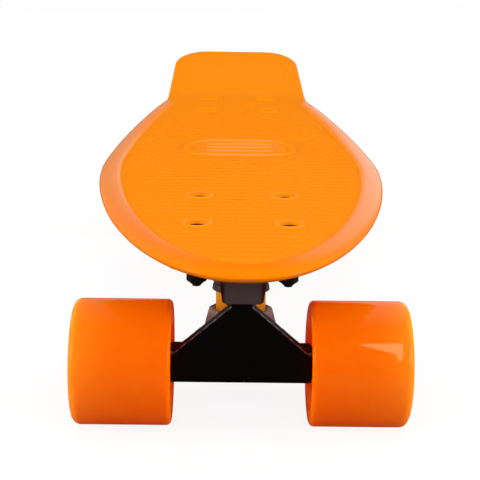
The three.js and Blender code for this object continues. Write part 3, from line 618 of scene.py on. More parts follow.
def bolt_socket():
    """What a deck bolt's hole takes away: the shaft's hole, the countersink and the mouth."""
    foot, top = -PAD_THICKNESS - OVERRUN, RING_HEIGHT + OVERRUN
    cone_foot, cone_top, mouth_foot, mouth_top = -4.2, -1.8, -1.35, 0.4
    profile = [
        (0, foot), (BOLT_HOLE_RADIUS, foot), (BOLT_HOLE_RADIUS, cone_foot), (BOLT_SEAT_RADIUS, cone_top),
        (BOLT_SEAT_RADIUS, mouth_foot), (BOLT_MOUTH_RADIUS, mouth_top), (BOLT_MOUTH_RADIUS, top), (0, top),
    ]
    return turned(profile, 40)


def bolt_ring():
    """The low crown round a bolt hole."""
    foot, outer = -0.6, RING_RADIUS
    crown = [
        (outer, foot), (outer, 0.02), (outer - 0.3, RING_HEIGHT * 0.55), (outer - 0.8, RING_HEIGHT - 0.08),
        (outer - 1.2, RING_HEIGHT), (outer - 1.4, RING_HEIGHT - 0.05), (outer - 1.6, RING_HEIGHT - 0.25),
        (BOLT_MOUTH_RADIUS, 0.3), (BOLT_MOUTH_RADIUS - 0.15, foot),
    ]
    return turned(crown, 48)


def ridge(path, half_width, height, closed):
    """A low round-topped ridge along a path of (x, y) on the deck's top, sunk a little into it."""
    path = np.array(path, float)
    count, across, sink = len(path), 8, 0.3
    if closed:
        along = np.roll(path, -1, 0) - np.roll(path, 1, 0)
    else:
        along = np.gradient(path, axis=0)
    along /= np.linalg.norm(along, axis=1)[:, None]
    side = np.stack([along[:, 1], -along[:, 0]], axis=1)
    points, faces = [], []
    for i in range(count):
        for k in range(across + 1):
            angle = math.pi * k / across
            x, y = path[i] - side[i] * half_width * math.cos(angle)
            rise = height * math.sin(angle) - sink * (k in (0, across))
            points.append((x, y, DECK_TOP + rise))
    spans = count if closed else count - 1
    for i in range(spans):
        j = (i + 1) % count
        for k in range(across):
            a, b = i * (across + 1) + k, j * (across + 1) + k
            faces.append([a, a + 1, b + 1, b])
    if not closed:
        faces.append(list(range(across + 1))[::-1])
        faces.append([(count - 1) * (across + 1) + k for k in range(across + 1)])
    return np.array(points, float), faces


def stand_pad():
    """A plain raised frame with grip bars, where a foot stands."""
    sink, spread, inset = 0.5, 0.6, STAND_PAD_BORDER / 2
    half_x, half_y = STAND_PAD_WIDTH / 2 - inset, STAND_PAD_LENGTH / 2 - inset
    corner, bar_half = STAND_PAD_CORNER - inset, half_x * STAND_BAR_SHARE
    outline = rounded_rectangle(half_x, STAND_PAD_Y - half_y, STAND_PAD_Y + half_y, corner, 12)
    plate = prism(outline, DECK_TOP - sink, DECK_TOP + STAND_PAD_RISE)
    shapes = [plate, ridge(outline, inset + spread, STAND_BAR_HEIGHT, True)]
    spacing = (STAND_PAD_LENGTH - 2 * STAND_PAD_BORDER) / (STAND_BARS + 1)
    for i in range(1, STAND_BARS + 1):
        y = STAND_PAD_Y - STAND_PAD_LENGTH / 2 + STAND_PAD_BORDER + i * spacing
        path = [(x, y) for x in np.linspace(-bar_half, bar_half, 12)]
        shapes.append(ridge(path, STAND_BAR_HALF_WIDTH, STAND_BAR_HEIGHT, False))
    return together(*shapes)


def edge_near(x, y):
    """How far inside the outline a point is, and how far the edge near it faces sideways."""
    start, span = OUTLINE[:-1], OUTLINE[1:] - OUTLINE[:-1]
    point = np.array([abs(x), y])
    along = np.clip(((point - start) * span).sum(1) / (span**2).sum(1), 0, 1)
    distances = np.linalg.norm(start + span * along[:, None] - point, axis=1)
    nearest = distances.argmin()
    outside = abs(x) >= np.interp(y, OUTLINE[:, 1], OUTLINE[:, 0])
    return 0 if outside else distances[nearest], abs(NORMALS[nearest, 0])


def stud_fits(x, y):
    """Whether a stud of the waffle clears the kick, the rim, the stand pad and the bolt rings."""
    foot = WAFFLE_WIDTH / 2
    last = BOARD_LENGTH / 2 - KICK_LENGTH - WAFFLE_KICK_MARGIN
    if y > min(last, TAIL_ROOT_Y) or edge_near(x, y)[0] < RIM_WIDTH + WAFFLE_RIM_MARGIN + foot:
        return False
    pad_x, pad_y = STAND_PAD_WIDTH / 2 + WAFFLE_PAD_MARGIN, STAND_PAD_LENGTH / 2 + WAFFLE_PAD_MARGIN
    if abs(x) < pad_x and abs(y - STAND_PAD_Y) < pad_y:
        return False
    nearest = min(math.hypot(x - hole_x, y - hole_y) for hole_x, hole_y in bolt_places())
    return nearest >= RING_RADIUS + foot + WAFFLE_RING_MARGIN


def waffle():
    """The moulded waffle: low square studs in staggered rows over the flat of the deck."""
    sink, bevel, bevel_share = 0.05, 0.5, 0.6
    points, faces = [], []
    rows = int(BOARD_LENGTH / 2 / WAFFLE_PITCH)
    columns = int(BOARD_WIDTH / 2 / WAFFLE_PITCH)
    for row in range(-rows, rows + 1):
        for column in range(-columns, columns + 1):
            x, y = (column + row % 2 / 2) * WAFFLE_PITCH, row * WAFFLE_PITCH
            if not stud_fits(x, y):
                continue
            start = len(points)
            for inset, height in ((0, -sink), (bevel, WAFFLE_HEIGHT)):
                half_x, half_y = WAFFLE_WIDTH / 2 - inset * bevel_share, WAFFLE_LENGTH / 2 - inset
                for sx, sy in ((-1, -1), (1, -1), (1, 1), (-1, 1)):
                    points.append((x + sx * half_x, y + sy * half_y, DECK_TOP + height))
            faces.append([start + 4, start + 5, start + 6, start + 7])
            for i in range(4):
                j = (i + 1) % 4
                faces.append([start + i, start + j, start + 4 + j, start + 4 + i])
    return np.array(points, float), faces


def write_share(piece, name, values):
    """Gives each vertex of a piece a value that its material reads."""
    piece.data.attributes.new(name, "FLOAT", "POINT").data.foreach_set("value", values)


def deck_shares(x, y, z):
    """How far a point of the deck has the rim's deeper colour, partly its own and partly painted shade
    strongest at the nose, and how glossy it is.
    """
    inside, sideways = edge_near(x, y)
    narrowing = RIM_TAIL_NARROWING * smooth_step(y, TAIL_ROOT_Y - RIM_FADE_LENGTH, TAIL_ROOT_Y)
    band = RIM_WIDTH * (1 - narrowing)
    edge = 1 - smooth_step(inside, band - RIM_EDGE_FADE, band)
    rim = edge * (1 - smooth_step(y, TAIL_ROOT_Y - RIM_FADE_LENGTH / 5, TAIL_ROOT_Y))
    raised = (1 - edge) * smooth_step(z - DECK_TOP - kick_rise(y), *RAISED_GLOSS)
    raised *= 1 - smooth_step(y, *FAR_GLOSS_FADE)
    if abs(y - STAND_PAD_Y) < STAND_PAD_LENGTH:
        raised *= BAR_GLOSS_SHARE * (1 - smooth_step(abs(x), *BAR_GLOSS_FADE))
    else:
        raised *= RING_GLOSS_SHARE
    fall = RIM_NOSE_FALL + RIM_FALL_GAIN * smooth_step(y, *RIM_FALL_CHANGE)
    gloss = rim * sideways**4 * max(1 - fall * inside / RIM_WIDTH, 0) + raised
    # The rim's deeper colour fades away from the nose: partly the rim's own colour, partly painted shade on
    # the nose's edge
    return rim * (1 - RIM_FAR_PALENESS * smooth_step(y, *RIM_COLOUR_AND_SHADE_FADE)), gloss


def make_deck():
    places = [Matrix.Translation((x, y, DECK_TOP)) for x, y in bolt_places()]
    sockets = [moved(bolt_socket(), place) for place in places]
    shape = combined(ribbed_underside(deck_body()), together(*sockets), "DIFFERENCE")
    rings = [moved(bolt_ring(), place) for place in places]
    shape = together(shape, *rings, stand_pad(), waffle())
    deck = set_in("moulded_deck", shape, deck_plastic, "board", ["deck"], sharp=28)
    rims, glosses = zip(*[deck_shares(*(vertex.co * 1000)) for vertex in deck.data.vertices])
    # The rim's deeper colour, partly painted shade on the nose's edge
    write_share(deck, "rim_colour_and_shade_share", rims)
    write_share(deck, "gloss_share", glosses)


make_deck()


# Truck castings, drawn for the front truck from its axle's centre

def on_steer_axis(reach, shift=0.0):
    """The (y, z) at a reach along the steering axis from the kingpin ring, and a shift above it."""
    y = RING_INWARD - reach * math.cos(STEER_ANGLE) + shift * math.sin(STEER_ANGLE)
    z = RING_RISE + reach * math.sin(STEER_ANGLE) + shift * math.cos(STEER_ANGLE)
    return y, z


RING_PLACE = Matrix.Translation((0, RING_INWARD, RING_RISE))
ON_STEER = RING_PLACE @ Matrix.Rotation(math.pi / 2 - STEER_ANGLE, 4, "X")
ON_KINGPIN = RING_PLACE @ Matrix.Rotation(-KINGPIN_LEAN, 4, "X")
ALONG_AXLE = Matrix.Rotation(math.pi / 2, 4, "Y")
UPSIDE_DOWN = Matrix.Rotation(math.pi, 4, "X")


def tube(radius, low, high, sides=40):
    return turned([(0, low), (radius, low), (radius, high), (0, high)], sides)


def united(shapes):
    whole = shapes[0]
    for shape in shapes[1:]:
        whole = combined(whole, shape, "UNION")
    return whole


def cut_by(shape, cuts):
    for cut in cuts:
        shape = combined(shape, cut, "DIFFERENCE")
    return shape


def hexagon(across_flats, low, high, chamfer=0.9, both=False):
    """A hexagon on Z with its corners turned off round the top, and the foot too if both."""
    corner, flat, run = across_flats / 2 / math.cos(math.pi / 6), across_flats / 2 - 0.1, 3
    angles = [math.pi / 3 * i for i in range(6)]
    outline = [(corner * math.cos(angle), corner * math.sin(angle)) for angle in angles]
    foot = [(0, low), (corner + 1, low)]
    if both:
        foot = [(0, low), (flat, low), (flat + run, low + run * chamfer)]
    top = [(flat + run, high - run * chamfer), (flat, high), (0, high)]
    return combined(prism(outline, low, high), turned(foot + top, 48), "INTERSECT")


def pivot_boss():
    """The boss that holds the pivot cup: its side view, cut by its drafted front view."""
    cup_wall, narrowing, corner = 1.8, 0.7, 1.6
    low, high = PLATE_UNDERSIDE - PIVOT_BOSS_DEPTH, PLATE_UNDERSIDE + OVERRUN
    under = (PLATE_UNDERSIDE - on_steer_axis(PIVOT_MOUTH)[1]) / math.cos(STEER_ANGLE)
    side = [
        (-PIVOT_BOSS_FORWARD, high), (-PIVOT_BOSS_FORWARD, low),
        on_steer_axis(PIVOT_MOUTH, -PIVOT_CUP_RADIUS - GAP - cup_wall),
        on_steer_axis(PIVOT_MOUTH, under), (BOLT_ROWS[0] + PLATE_MARGIN, high),
    ]
    face = [
        (x * (1 + PIVOT_BOSS_DRAFT * (z - low)), z)
        for x, z in rounded_rectangle(PIVOT_BOSS_WIDTH / 2 - narrowing, low, high, corner)
    ]
    front = front_plate(face, -2 * PIVOT_BOSS_FORWARD, PIVOT_BOSS_FORWARD)
    return combined(side_plate(side, PIVOT_BOSS_WIDTH + OVERRUN), front, "INTERSECT")


def baseplate_casting():
    front, back = BOLT_ROWS[0] - PLATE_MARGIN, BOLT_ROWS[1] + PLATE_MARGIN
    plate_outline = rounded_rectangle(BOLT_SIDES[1] + PLATE_MARGIN, front, back, PLATE_CORNER)
    tongue_half, tongue_back, tongue_corner = PIVOT_BOSS_WIDTH / 2 + 0.8, 25, 2
    tongue_outline = rounded_rectangle(tongue_half, -PIVOT_BOSS_FORWARD, tongue_back, tongue_corner)
    top = (PLATE_UNDERSIDE - RING_RISE) / math.cos(KINGPIN_LEAN) + OVERRUN
    wide = KINGPIN_BOSS_RADIUS + KINGPIN_BOSS_DRAFT
    seat = turned([(0, BOSS_FOOT), (KINGPIN_BOSS_RADIUS, BOSS_FOOT), (wide, top), (0, top)], 48)
    head_foot = PLATE_TOP_ON_KINGPIN - KINGPIN_HEAD_SINK - KINGPIN_HEAD_HEIGHT - GAP
    head_top = PLATE_TOP_ON_KINGPIN + 2 * OVERRUN
    cuts = [
        moved(tube(KINGPIN_RADIUS + GAP, BOSS_FOOT - OVERRUN, PLATE_TOP_ON_KINGPIN), ON_KINGPIN),
        moved(hexagon(KINGPIN_HEAD_ACROSS + 2 * GAP, head_foot, head_top, 0), ON_KINGPIN),
        moved(
            tube(PIVOT_CUP_RADIUS + GAP, PIVOT_MOUTH - OVERRUN, PIVOT_MOUTH + PIVOT_CUP_LENGTH + GAP),
            ON_STEER,
        ),
    ]
    bolt_hole = tube(BOLT_HOLE_RADIUS, PLATE_UNDERSIDE - OVERRUN, TRUCK_HEIGHT + OVERRUN, 24)
    cuts += [moved(bolt_hole, Matrix.Translation((x, y, 0))) for x in BOLT_SIDES for y in BOLT_ROWS]
    plate = prism(plate_outline, PLATE_UNDERSIDE, TRUCK_HEIGHT)
    tongue = prism(tongue_outline, PLATE_UNDERSIDE, TRUCK_HEIGHT)
    return cast(cut_by(united([plate, tongue, pivot_boss(), moved(seat, ON_KINGPIN)]), cuts), 0.6, 3)


def dome(radius, pole, steps=8):
    """The outline of a round end up to its pole on Z."""
    angles = [math.pi / 2 * i / steps for i in range(steps)]
    points = [(radius * math.cos(angle), pole - radius * (1 - math.sin(angle))) for angle in angles]
    return points + [(0, pole)]


def axle_housing():
    """The square housing with rounded corners, tapered into a round neck at both ends."""
    half, foot, end = HOUSING_SIZE / 2, HOUSING_LENGTH / 2, HANGER_WIDTH / 2
    outline = rounded_rectangle(half, -half, half, HOUSING_CORNER, 8)
    right = [(half, foot), (NECK_RADIUS, foot + NECK_TAPER), (NECK_RADIUS, end), (0, end)]
    left = [(radius, -height) for radius, height in reversed(right)]
    return [moved(prism(outline, -foot, foot), ALONG_AXLE), moved(turned(left + right, 48), ALONG_AXLE)]


def hanger_web():
    """The triangular web: its side view, cut by its front view."""
    half, web_back = HOUSING_SIZE / 2, -1.5
    top_y, top_z = on_steer_axis(WEB_TOP_REACH, -PIVOT_PIN_RADIUS)
    side = [(-half, 0), (web_back, 0), (top_y + WEB_THICKNESS, top_z), (top_y, top_z)]
    right = [
        (WEB_FOOT / 2, 0), (WEB_FOOT / 2, half), (WEB_TOP / 2, top_z - WEB_SHOULDER), (WEB_TOP / 2, top_z),
    ]
    left = [(-x, z) for x, z in reversed(right)]
    front = front_plate(left[-1:] + right + left[:-1], -PIVOT_BOSS_FORWARD, RING_INWARD)
    return combined(side_plate(side, WEB_FOOT), front, "INTERSECT")


def hanger_casting():
    half, floor = HOUSING_SIZE / 2, RING_HALF_HEIGHT - SEAT_DEPTH
    neck_half, neck_top = 13, RING_RISE + RING_HALF_HEIGHT - GAP
    gusset_width, gusset_bend = 8, on_steer_axis(36, -3.6)
    shank_foot, shank_top, shank_radius, pole_clearance = 22, 36, 7.2, 1.7
    ring_bore, ring_reach, axle_bore, axle_reach = 8, 18, 4.3, 50
    neck = box(-neck_half, neck_half, -half / 2, half, 0, neck_top)
    web_top = on_steer_axis(WEB_TOP_REACH, -PIVOT_PIN_RADIUS)
    gusset = side_plate([(-half, 0), (half, 0), (half, neck_top), gusset_bend, web_top], gusset_width)
    ring_side = [(RING_FOOT_RADIUS, -RING_HALF_HEIGHT), (RING_TOP_RADIUS, RING_HALF_HEIGHT)]
    ring = turned([(0, -RING_HALF_HEIGHT), *ring_side, (0, RING_HALF_HEIGHT)], 64)
    shank = [(0, shank_foot), (shank_radius, shank_foot), (shank_radius, shank_top)]
    pin = dome(PIVOT_PIN_RADIUS, PIVOT_MOUTH + PIVOT_CUP_LENGTH - pole_clearance - GAP)
    pivot = turned(shank + [(PIVOT_PIN_RADIUS, WEB_TOP_REACH)] + pin, 40)
    solids = [*axle_housing(), hanger_web(), neck, gusset, moved(ring, ON_KINGPIN), moved(pivot, ON_STEER)]
    cuts = [
        moved(tube(ring_bore, -ring_reach, ring_reach), ON_KINGPIN),
        moved(tube(UPPER_BUSHING_RADIUS + GAP, floor, BOSS_FOOT, 64), ON_KINGPIN),
        moved(tube(LOWER_BUSHING_RADIUS + GAP, LOWER_WASHER_FOOT, -floor, 64), ON_KINGPIN),
        moved(tube(axle_bore, -axle_reach, axle_reach), ALONG_AXLE),
    ]
    return cast(cut_by(united(solids), cuts), 0.5, 2)


def upper_bushing():
    hole, radius, low, high = KINGPIN_RADIUS + GAP, UPPER_BUSHING_RADIUS, UPPER_SEAT, UPPER_TOP
    edge, soft, steps = 1, 0.3, 8
    profile = [(hole, low), (radius - edge, low), (radius - soft, low + soft), (radius, low + edge)]
    profile += [(radius, low + edge + (high - low - 2 * edge) * i / steps) for i in range(1, steps)]
    profile += [(radius, high - edge), (radius - soft, high - soft), (radius - edge, high), (hole, high)]
    return moved(turned(profile, 64), ON_KINGPIN)


def lower_bushing():
    hole, end, radius = KINGPIN_RADIUS + GAP, LOWER_BUSHING_END, LOWER_BUSHING_RADIUS
    soft, steps, cone_foot, cone_height = 0.5, 7, LOWER_FOOT + WASHER_LIP, 7.2
    profile = [(hole, LOWER_FOOT), (end - soft, LOWER_FOOT), (end, LOWER_FOOT + soft), (end, cone_foot)]
    profile += [
        (end + (radius - end) * i / steps, cone_foot + cone_height * i / steps) for i in range(1, steps + 1)
    ]
    profile += [(radius, LOWER_SEAT), (hole, LOWER_SEAT)]
    return moved(turned(profile, 64), ON_KINGPIN)


def cup_washer(inner, floor, turn=Matrix()):
    """A washer with a lip round the bushing; it opens up, or down if turned."""
    hole, wall = KINGPIN_RADIUS + GAP, inner + GAP
    outer, top = wall + WASHER_WALL, WASHER_FLOOR + WASHER_LIP
    profile = [
        (hole, 0), (outer - 1.2, 0), (outer - 0.55, 0.35), (outer - 0.25, 1), (outer, top - 0.3),
        (outer - 0.35, top), (wall, top), (wall, WASHER_FLOOR), (hole, WASHER_FLOOR),
    ]
    return moved(turned(profile, 64), ON_KINGPIN @ Matrix.Translation((0, 0, floor)) @ turn)


def threads(radius, low, high, pitch):
    """The thread's outline between two heights, as (radius, height) from the foot up."""
    count = max(int((high - low) / pitch), 1)
    turn, root = (high - low) / count, radius - pitch / 2
    points = []
    for i in range(count):
        points += [(root, low + (i + 0.05) * turn), (radius, low + (i + 0.5) * turn)]
    return points + [(root, high)]


def kingpin():
    in_head = 4
    foot, top = KINGPIN_NUT_TOP - KINGPIN_THREAD_LENGTH, PLATE_TOP_ON_KINGPIN - in_head
    head_top = PLATE_TOP_ON_KINGPIN - KINGPIN_HEAD_SINK
    head = hexagon(KINGPIN_HEAD_ACROSS, head_top - KINGPIN_HEAD_HEIGHT, head_top)
    chamfer, thread_foot, thread_top = 1, foot + 0.8, foot + KINGPIN_THREAD_LENGTH
    profile = [(0, foot), (KINGPIN_RADIUS - chamfer, foot)]
    profile += threads(KINGPIN_RADIUS, thread_foot, thread_top, KINGPIN_THREAD_PITCH)
    profile += [(KINGPIN_RADIUS, thread_top + 0.2), (KINGPIN_RADIUS, top), (0, top)]
    return moved(together(turned(profile, 40), head), ON_KINGPIN)


def lock_nut(across_flats, height, shaft, hex_share=0.72, collar_inset=0.6):
    """A lock nut on Z, with its locking collar on top."""
    bore, corner, middle = shaft / 2 + GAP, across_flats / 2 - collar_inset, height / 2
    collar = [
        (bore, middle), (corner, middle), (corner, height - 0.35), (corner - 0.3, height),
        (bore + 0.1, height), (bore, height - 0.1),
    ]
    blank = hexagon(across_flats, 0, height * hex_share, 0.55, True)
    body = combined(blank, tube(bore, -1, height + 1), "DIFFERENCE")
    return together(body, turned(collar, 40))


def deck_bolt():
    """A countersunk bolt with a cross recess, its head's top on Z = 0."""
    radius, head, head_depth, edge, foot = DECK_BOLT_RADIUS, 4.7, 2.6, 0.15, -27.4
    thread_length, thread_pitch, chamfer = 14, 0.8, 0.5
    profile = [(0, foot), (radius - chamfer, foot)]
    profile += threads(radius, foot + 0.4, foot + thread_length, thread_pitch)
    profile += [
        (radius, foot + thread_length + 0.2), (radius, -head_depth), (head, -edge), (head - edge, 0), (0, 0),
    ]
    arm, half, depth = 2.3, 0.55, 1.9
    cross = united([box(-arm, arm, -half, half, -depth, 1), box(-half, half, -arm, arm, -depth, 1)])
    return combined(turned(profile, 32), cross, "DIFFERENCE")


def axle_rod():
    """The axle with a thread at both ends."""
    end, chamfer, chamfer_length = AXLE_HALF_LENGTH, 0.87, 0.6
    tip = AXLE_RADIUS - chamfer
    thread = threads(AXLE_RADIUS, chamfer_length - end, -STACK_TOP, AXLE_THREAD_PITCH)
    foot = [(0, -end), (tip, -end), *thread, (AXLE_RADIUS, 0.2 - STACK_TOP)]
    top = [(radius, -height) for radius, height in reversed(foot)]
    return moved(turned(foot + top, 40), ALONG_AXLE)


# Wheels, turned about Z with the outer side up

def arc(radius, height, rounding, start, steps):
    """A quarter round a centre at (radius, height), from an angle in degrees on."""
    angles = [math.radians(start + 90 * i / steps) for i in range(steps + 1)]
    return [(radius + rounding * math.cos(angle), height + rounding * math.sin(angle)) for angle in angles]


def wheel():
    """The wheel from its inner hub round the tread and the outer lip to the bearing seats."""
    seat, stop, hub_edge = BEARING_RADIUS + GAP, 8.5, HUB_RADIUS - 0.6
    inner_round, outer_round, lip = 2.5, 4, 1.2
    inner_face, outer_face = INNER_BEARING - 0.5, WHEEL_OUTER - lip
    floor = OUTER_BEARING + BEARING_WIDTH
    stop_foot, stop_top = INNER_BEARING + BEARING_WIDTH + GAP, OUTER_BEARING - GAP
    inner_rise, outer_fall = inner_face - HUB_MOUTH_FOOT, floor + 0.5 - outer_face

    def cone(share, foot, rise, power):
        radius = HUB_MOUTH_RADIUS + (HUB_RADIUS - HUB_MOUTH_RADIUS) * share
        return radius, foot + rise * share**power

    profile = [(seat, INNER_BEARING), (hub_edge, INNER_BEARING), (HUB_RADIUS, inner_face)]
    profile += [cone(1 - i / HUB_STEPS, HUB_MOUTH_FOOT, inner_rise, 1.15) for i in range(1, HUB_STEPS)]
    profile += [(HUB_MOUTH_RADIUS, HUB_MOUTH_FOOT), (21.4, WHEEL_INNER + 0.55), (24, WHEEL_INNER + 0.05)]
    profile += arc(WHEEL_RADIUS - inner_round, WHEEL_INNER + inner_round, inner_round, -90, 6)
    profile += [(WHEEL_RADIUS, height) for height in (40, 55, 70)]
    profile += arc(WHEEL_RADIUS - outer_round, WHEEL_OUTER - outer_round, outer_round, 0, 9)
    profile += [(22.5, WHEEL_OUTER - 0.15), (21, WHEEL_OUTER - 0.5), (HUB_MOUTH_RADIUS, outer_face)]
    profile += [cone(i / HUB_STEPS, outer_face, outer_fall, 0.9) for i in range(1, HUB_STEPS + 1)]
    profile += [(hub_edge, floor), (seat, floor), (seat, stop_top), (stop, stop_top)]
    profile += [(stop, stop_foot), (seat, stop_foot)]
    return turned(profile, 128)


def bearing():
    """An outer race with a pressed shield on both sides."""
    bore, shield, groove, race = 6.3, 0.25, 0.6, 9.6
    low = [
        (bore, 0.5), (7.2, 0.5), (7.5, shield), (8.9, shield), (9.2, groove), (9.45, groove), (race, 0),
        (BEARING_RADIUS - 0.4, 0), (BEARING_RADIUS, 0.4),
    ]
    high = [(radius, BEARING_WIDTH - height) for radius, height in reversed(low)]
    return turned(low + high, 64)


def race_stack():
    """Both inner races with the spacer between them and a speed washer at each end."""
    bore, spacer, washer, race, soft = 4.27, 5.2, 5.5, 6, 0.1
    inner_top, outer_top = INNER_BEARING + BEARING_WIDTH, OUTER_BEARING + BEARING_WIDTH
    profile = [
        (bore, STACK_FOOT), (washer - soft, STACK_FOOT), (washer, INNER_BEARING - soft),
        (washer, INNER_BEARING), (race - soft, INNER_BEARING + soft), (race, INNER_BEARING + 0.3),
        (race, inner_top), (spacer, inner_top), (spacer, OUTER_BEARING), (race, OUTER_BEARING),
        (race, outer_top - 0.3), (race - soft, outer_top), (washer, outer_top),
        (washer, STACK_TOP - soft), (washer - soft, STACK_TOP), (bore, STACK_TOP),
    ]
    return turned(profile, 48)


SHAPES = {
    "baseplate": baseplate_casting(),
    "hanger": hanger_casting(),
    "kingpin": kingpin(),
    "kingpin_nut": moved(
        lock_nut(KINGPIN_HEAD_ACROSS, KINGPIN_NUT_HEIGHT, 2 * KINGPIN_RADIUS),
        ON_KINGPIN @ Matrix.Translation((0, 0, KINGPIN_NUT_TOP)) @ UPSIDE_DOWN,
    ),
    "upper_bushing": upper_bushing(),
    "lower_bushing": lower_bushing(),
    "upper_cup_washer": cup_washer(UPPER_BUSHING_RADIUS, UPPER_WASHER_TOP, UPSIDE_DOWN),
    "lower_cup_washer": cup_washer(LOWER_BUSHING_END, LOWER_WASHER_FOOT),
    "axle": axle_rod(),
}
WHEEL, BEARING, STACK = wheel(), bearing(), race_stack()
AXLE_NUT = lock_nut(AXLE_NUT_ACROSS, AXLE_NUT_HEIGHT, 2 * AXLE_RADIUS)
DECK_BOLT = deck_bolt()
DECK_NUT = lock_nut(DECK_NUT_ACROSS, DECK_NUT_HEIGHT, 2 * DECK_BOLT_RADIUS, hex_share=0.85, collar_inset=0.95)

# What is bolted to the board: the paint and the name of its slot
FIXED = {
    "baseplate": (boss_paint, "grey_paint"),
    "kingpin": (black_steel, "black_steel"),
    "kingpin_nut": (black_steel, "black_steel"),
    "upper_cup_washer": (grey_paint, "grey_paint"),
    "lower_cup_washer": (grey_paint, "grey_paint"),
}


# Where the truck's paint carries painted highlight and painted shade: from and to, in millimetres or as
# shares of a normal
RING_LIGHT_REACH, RING_LIGHT_BACK, RING_LIGHT_DEPTH = (0.2, 1), (-3, 7), 6
WEB_SHEEN_HEIGHT, WEB_SHEEN_UP, WEB_CORNER, WEB_FACE = (4, 9), (0.1, 0.3), (0.35, 0.6), (0.75, 0.92)
BOSS_SHADE_SIDE, BOSS_SHADE_LENGTH = (-1.9, -1.3), (3, 8)
RING_LIGHT_FRONT, RING_LIGHT_FALL, WEB_SHEEN_LEAST, WEB_SHEEN_GAIN = 0.85, 0.65, 0.02, 0.48


def within(value, origin, limits):
    """A smooth share of how far a value is between two limits from an origin."""
    return smooth_step(value, origin + limits[0], origin + limits[1])


def share_painted_light(piece, place, rule):
    """Writes where a piece's paint takes its second colour, painted highlight on the hanger and painted shade
    on the boss, by a rule for a point and normal of the truck.
    """
    back = place.inverted()
    turn = back.to_3x3()
    shares = [rule(back @ (v.co * 1000), turn @ v.normal) for v in piece.data.vertices]
    write_share(piece, "painted_light_share", shares)


def painted_boss_side_shade(point, normal):
    """Painted shade down the drafted sides of the pivot boss, round to its front."""
    low = 1 - within(point.z, PLATE_UNDERSIDE, (-1, 1))
    side = within(abs(point.x), PIVOT_BOSS_WIDTH / 2, BOSS_SHADE_SIDE)
    return low * side * (1 - within(point.y, -PIVOT_BOSS_FORWARD, BOSS_SHADE_LENGTH))


def painted_ring_and_edge_light(point, normal):
    """A painted highlight on the outer side of the kingpin ring and on the web's upper edges, and a faint
    painted reflection on the web's upward faces.
    """
    x, y, z = ON_KINGPIN.inverted() @ point
    ring = 1 - within(math.hypot(x, y), RING_FOOT_RADIUS, RING_LIGHT_REACH)
    ring *= within(z, -RING_HALF_HEIGHT, (-RING_LIGHT_DEPTH, 0))
    ring *= RING_LIGHT_FRONT - RING_LIGHT_FALL * smooth_step(y, *RING_LIGHT_BACK)
    corner = smooth_step(-normal.y, *WEB_CORNER) * (1 - smooth_step(-normal.y, *WEB_FACE))
    web = smooth_step(normal.z, *WEB_SHEEN_UP) * smooth_step(point.z, *WEB_SHEEN_HEIGHT)
    return max(ring, web * (WEB_SHEEN_LEAST + WEB_SHEEN_GAIN * corner))


def side_of(name, x):
    """The board's side that a place is on; the rear truck's own frame is turned round."""
    return "left" if (x < 0) == (name == "front") else "right"


def add_castings(name, place):
    for part, (material, slot) in FIXED.items():
        node = f"{name}_{part}"
        piece = set_in(node + "_piece", SHAPES[part], material, "board", [node], place)
        if part == "baseplate":
            # Painted shade down the pivot boss's sides
            share_painted_light(piece, place, painted_boss_side_shade)
    body = name + "_axle_group"
    node = name + "_hanger"
    hanger = set_in(node + "_casting", SHAPES["hanger"], hanger_paint, body, [node], place)
    # Painted highlight on the hanger's ring and edges
    share_painted_light(hanger, place, painted_ring_and_edge_light)
    node = name + "_axle"
    set_in(node + "_rod", SHAPES["axle"], bright_steel, body, [node], place)
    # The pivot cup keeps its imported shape
    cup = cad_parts[name + "_pivot_cup"].data.materials
    cup.clear()
    cup.append(black_nylon)


def add_bushings(name, place):
    """Both bushings, on no body, with their place baked into their mesh."""
    for row, low, high in (("upper", UPPER_SEAT, UPPER_TOP), ("lower", LOWER_SEAT, LOWER_FOOT)):
        part = row + "_bushing"
        node = f"{name}_{part}"
        piece = set_in(node + "_piece", SHAPES[part], amber_urethane, None, [node], place)
        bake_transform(piece)


def add_deck_bolts(name, place):
    """The bolts with their nuts; each cross recess stands at an angle of its own."""
    head_height = TRUCK_HEIGHT + PAD_THICKNESS - DECK_BOLT_SINK
    for row, end in zip(BOLT_ROWS, ("outer", "inner")):
        for x in BOLT_SIDES:
            node = f"{name}_{end}_{side_of(name, x)}"
            turn = Matrix.Rotation(x * 0.3 + row, 4, "Z")
            bolt = place @ Matrix.Translation((x, row, head_height)) @ turn
            nut = place @ Matrix.Translation((x, row, PLATE_UNDERSIDE - GAP)) @ UPSIDE_DOWN
            for part, shape, own in (("bolt", DECK_BOLT, bolt), ("nut", DECK_NUT, nut)):
                stands_for = node + ("_deck_bolt" if part == "bolt" else "_lock_nut")
                set_in(f"{node}_{part}_piece", shape, black_steel, "board", [stands_for], own)


def add_wheel(name, place, sign):
    """A wheel with its bearings, and what the axle nut clamps."""
    node = f"{name}_{side_of(name, sign)}"
    out = place @ Matrix.Rotation(sign * math.pi / 2, 4, "Y")
    turning, still = node + "_wheel_group", name + "_axle_group"
    nut_place = out @ Matrix.Translation((0, 0, STACK_TOP + GAP))
    set_in(node + "_wheel_piece", WHEEL, wheel_urethane, turning, [node + "_wheel"], out)
    for row, height in (("inner", INNER_BEARING), ("outer", OUTER_BEARING)):
        part = f"{node}_{row}_bearing"
        own = out @ Matrix.Translation((0, 0, height))
        set_in(part + "_piece", BEARING, shield_steel, turning, [part], own)
    for piece, part, shape, own in (
        ("_races", "_inner_races_and_spacer", STACK, out), ("_axle_nut", "_axle_nut", AXLE_NUT, nut_place),
    ):
        set_in(f"{node}{piece}_piece", shape, bright_steel, still, [node + part], own)


def make_truck(name):
    place = TRUCK_FRAMES[name]
    add_castings(name, place)
    add_bushings(name, place)
    add_deck_bolts(name, place)
    for sign in (-1, 1):
        add_wheel(name, place, sign)


make_truck("front")
make_truck("rear")


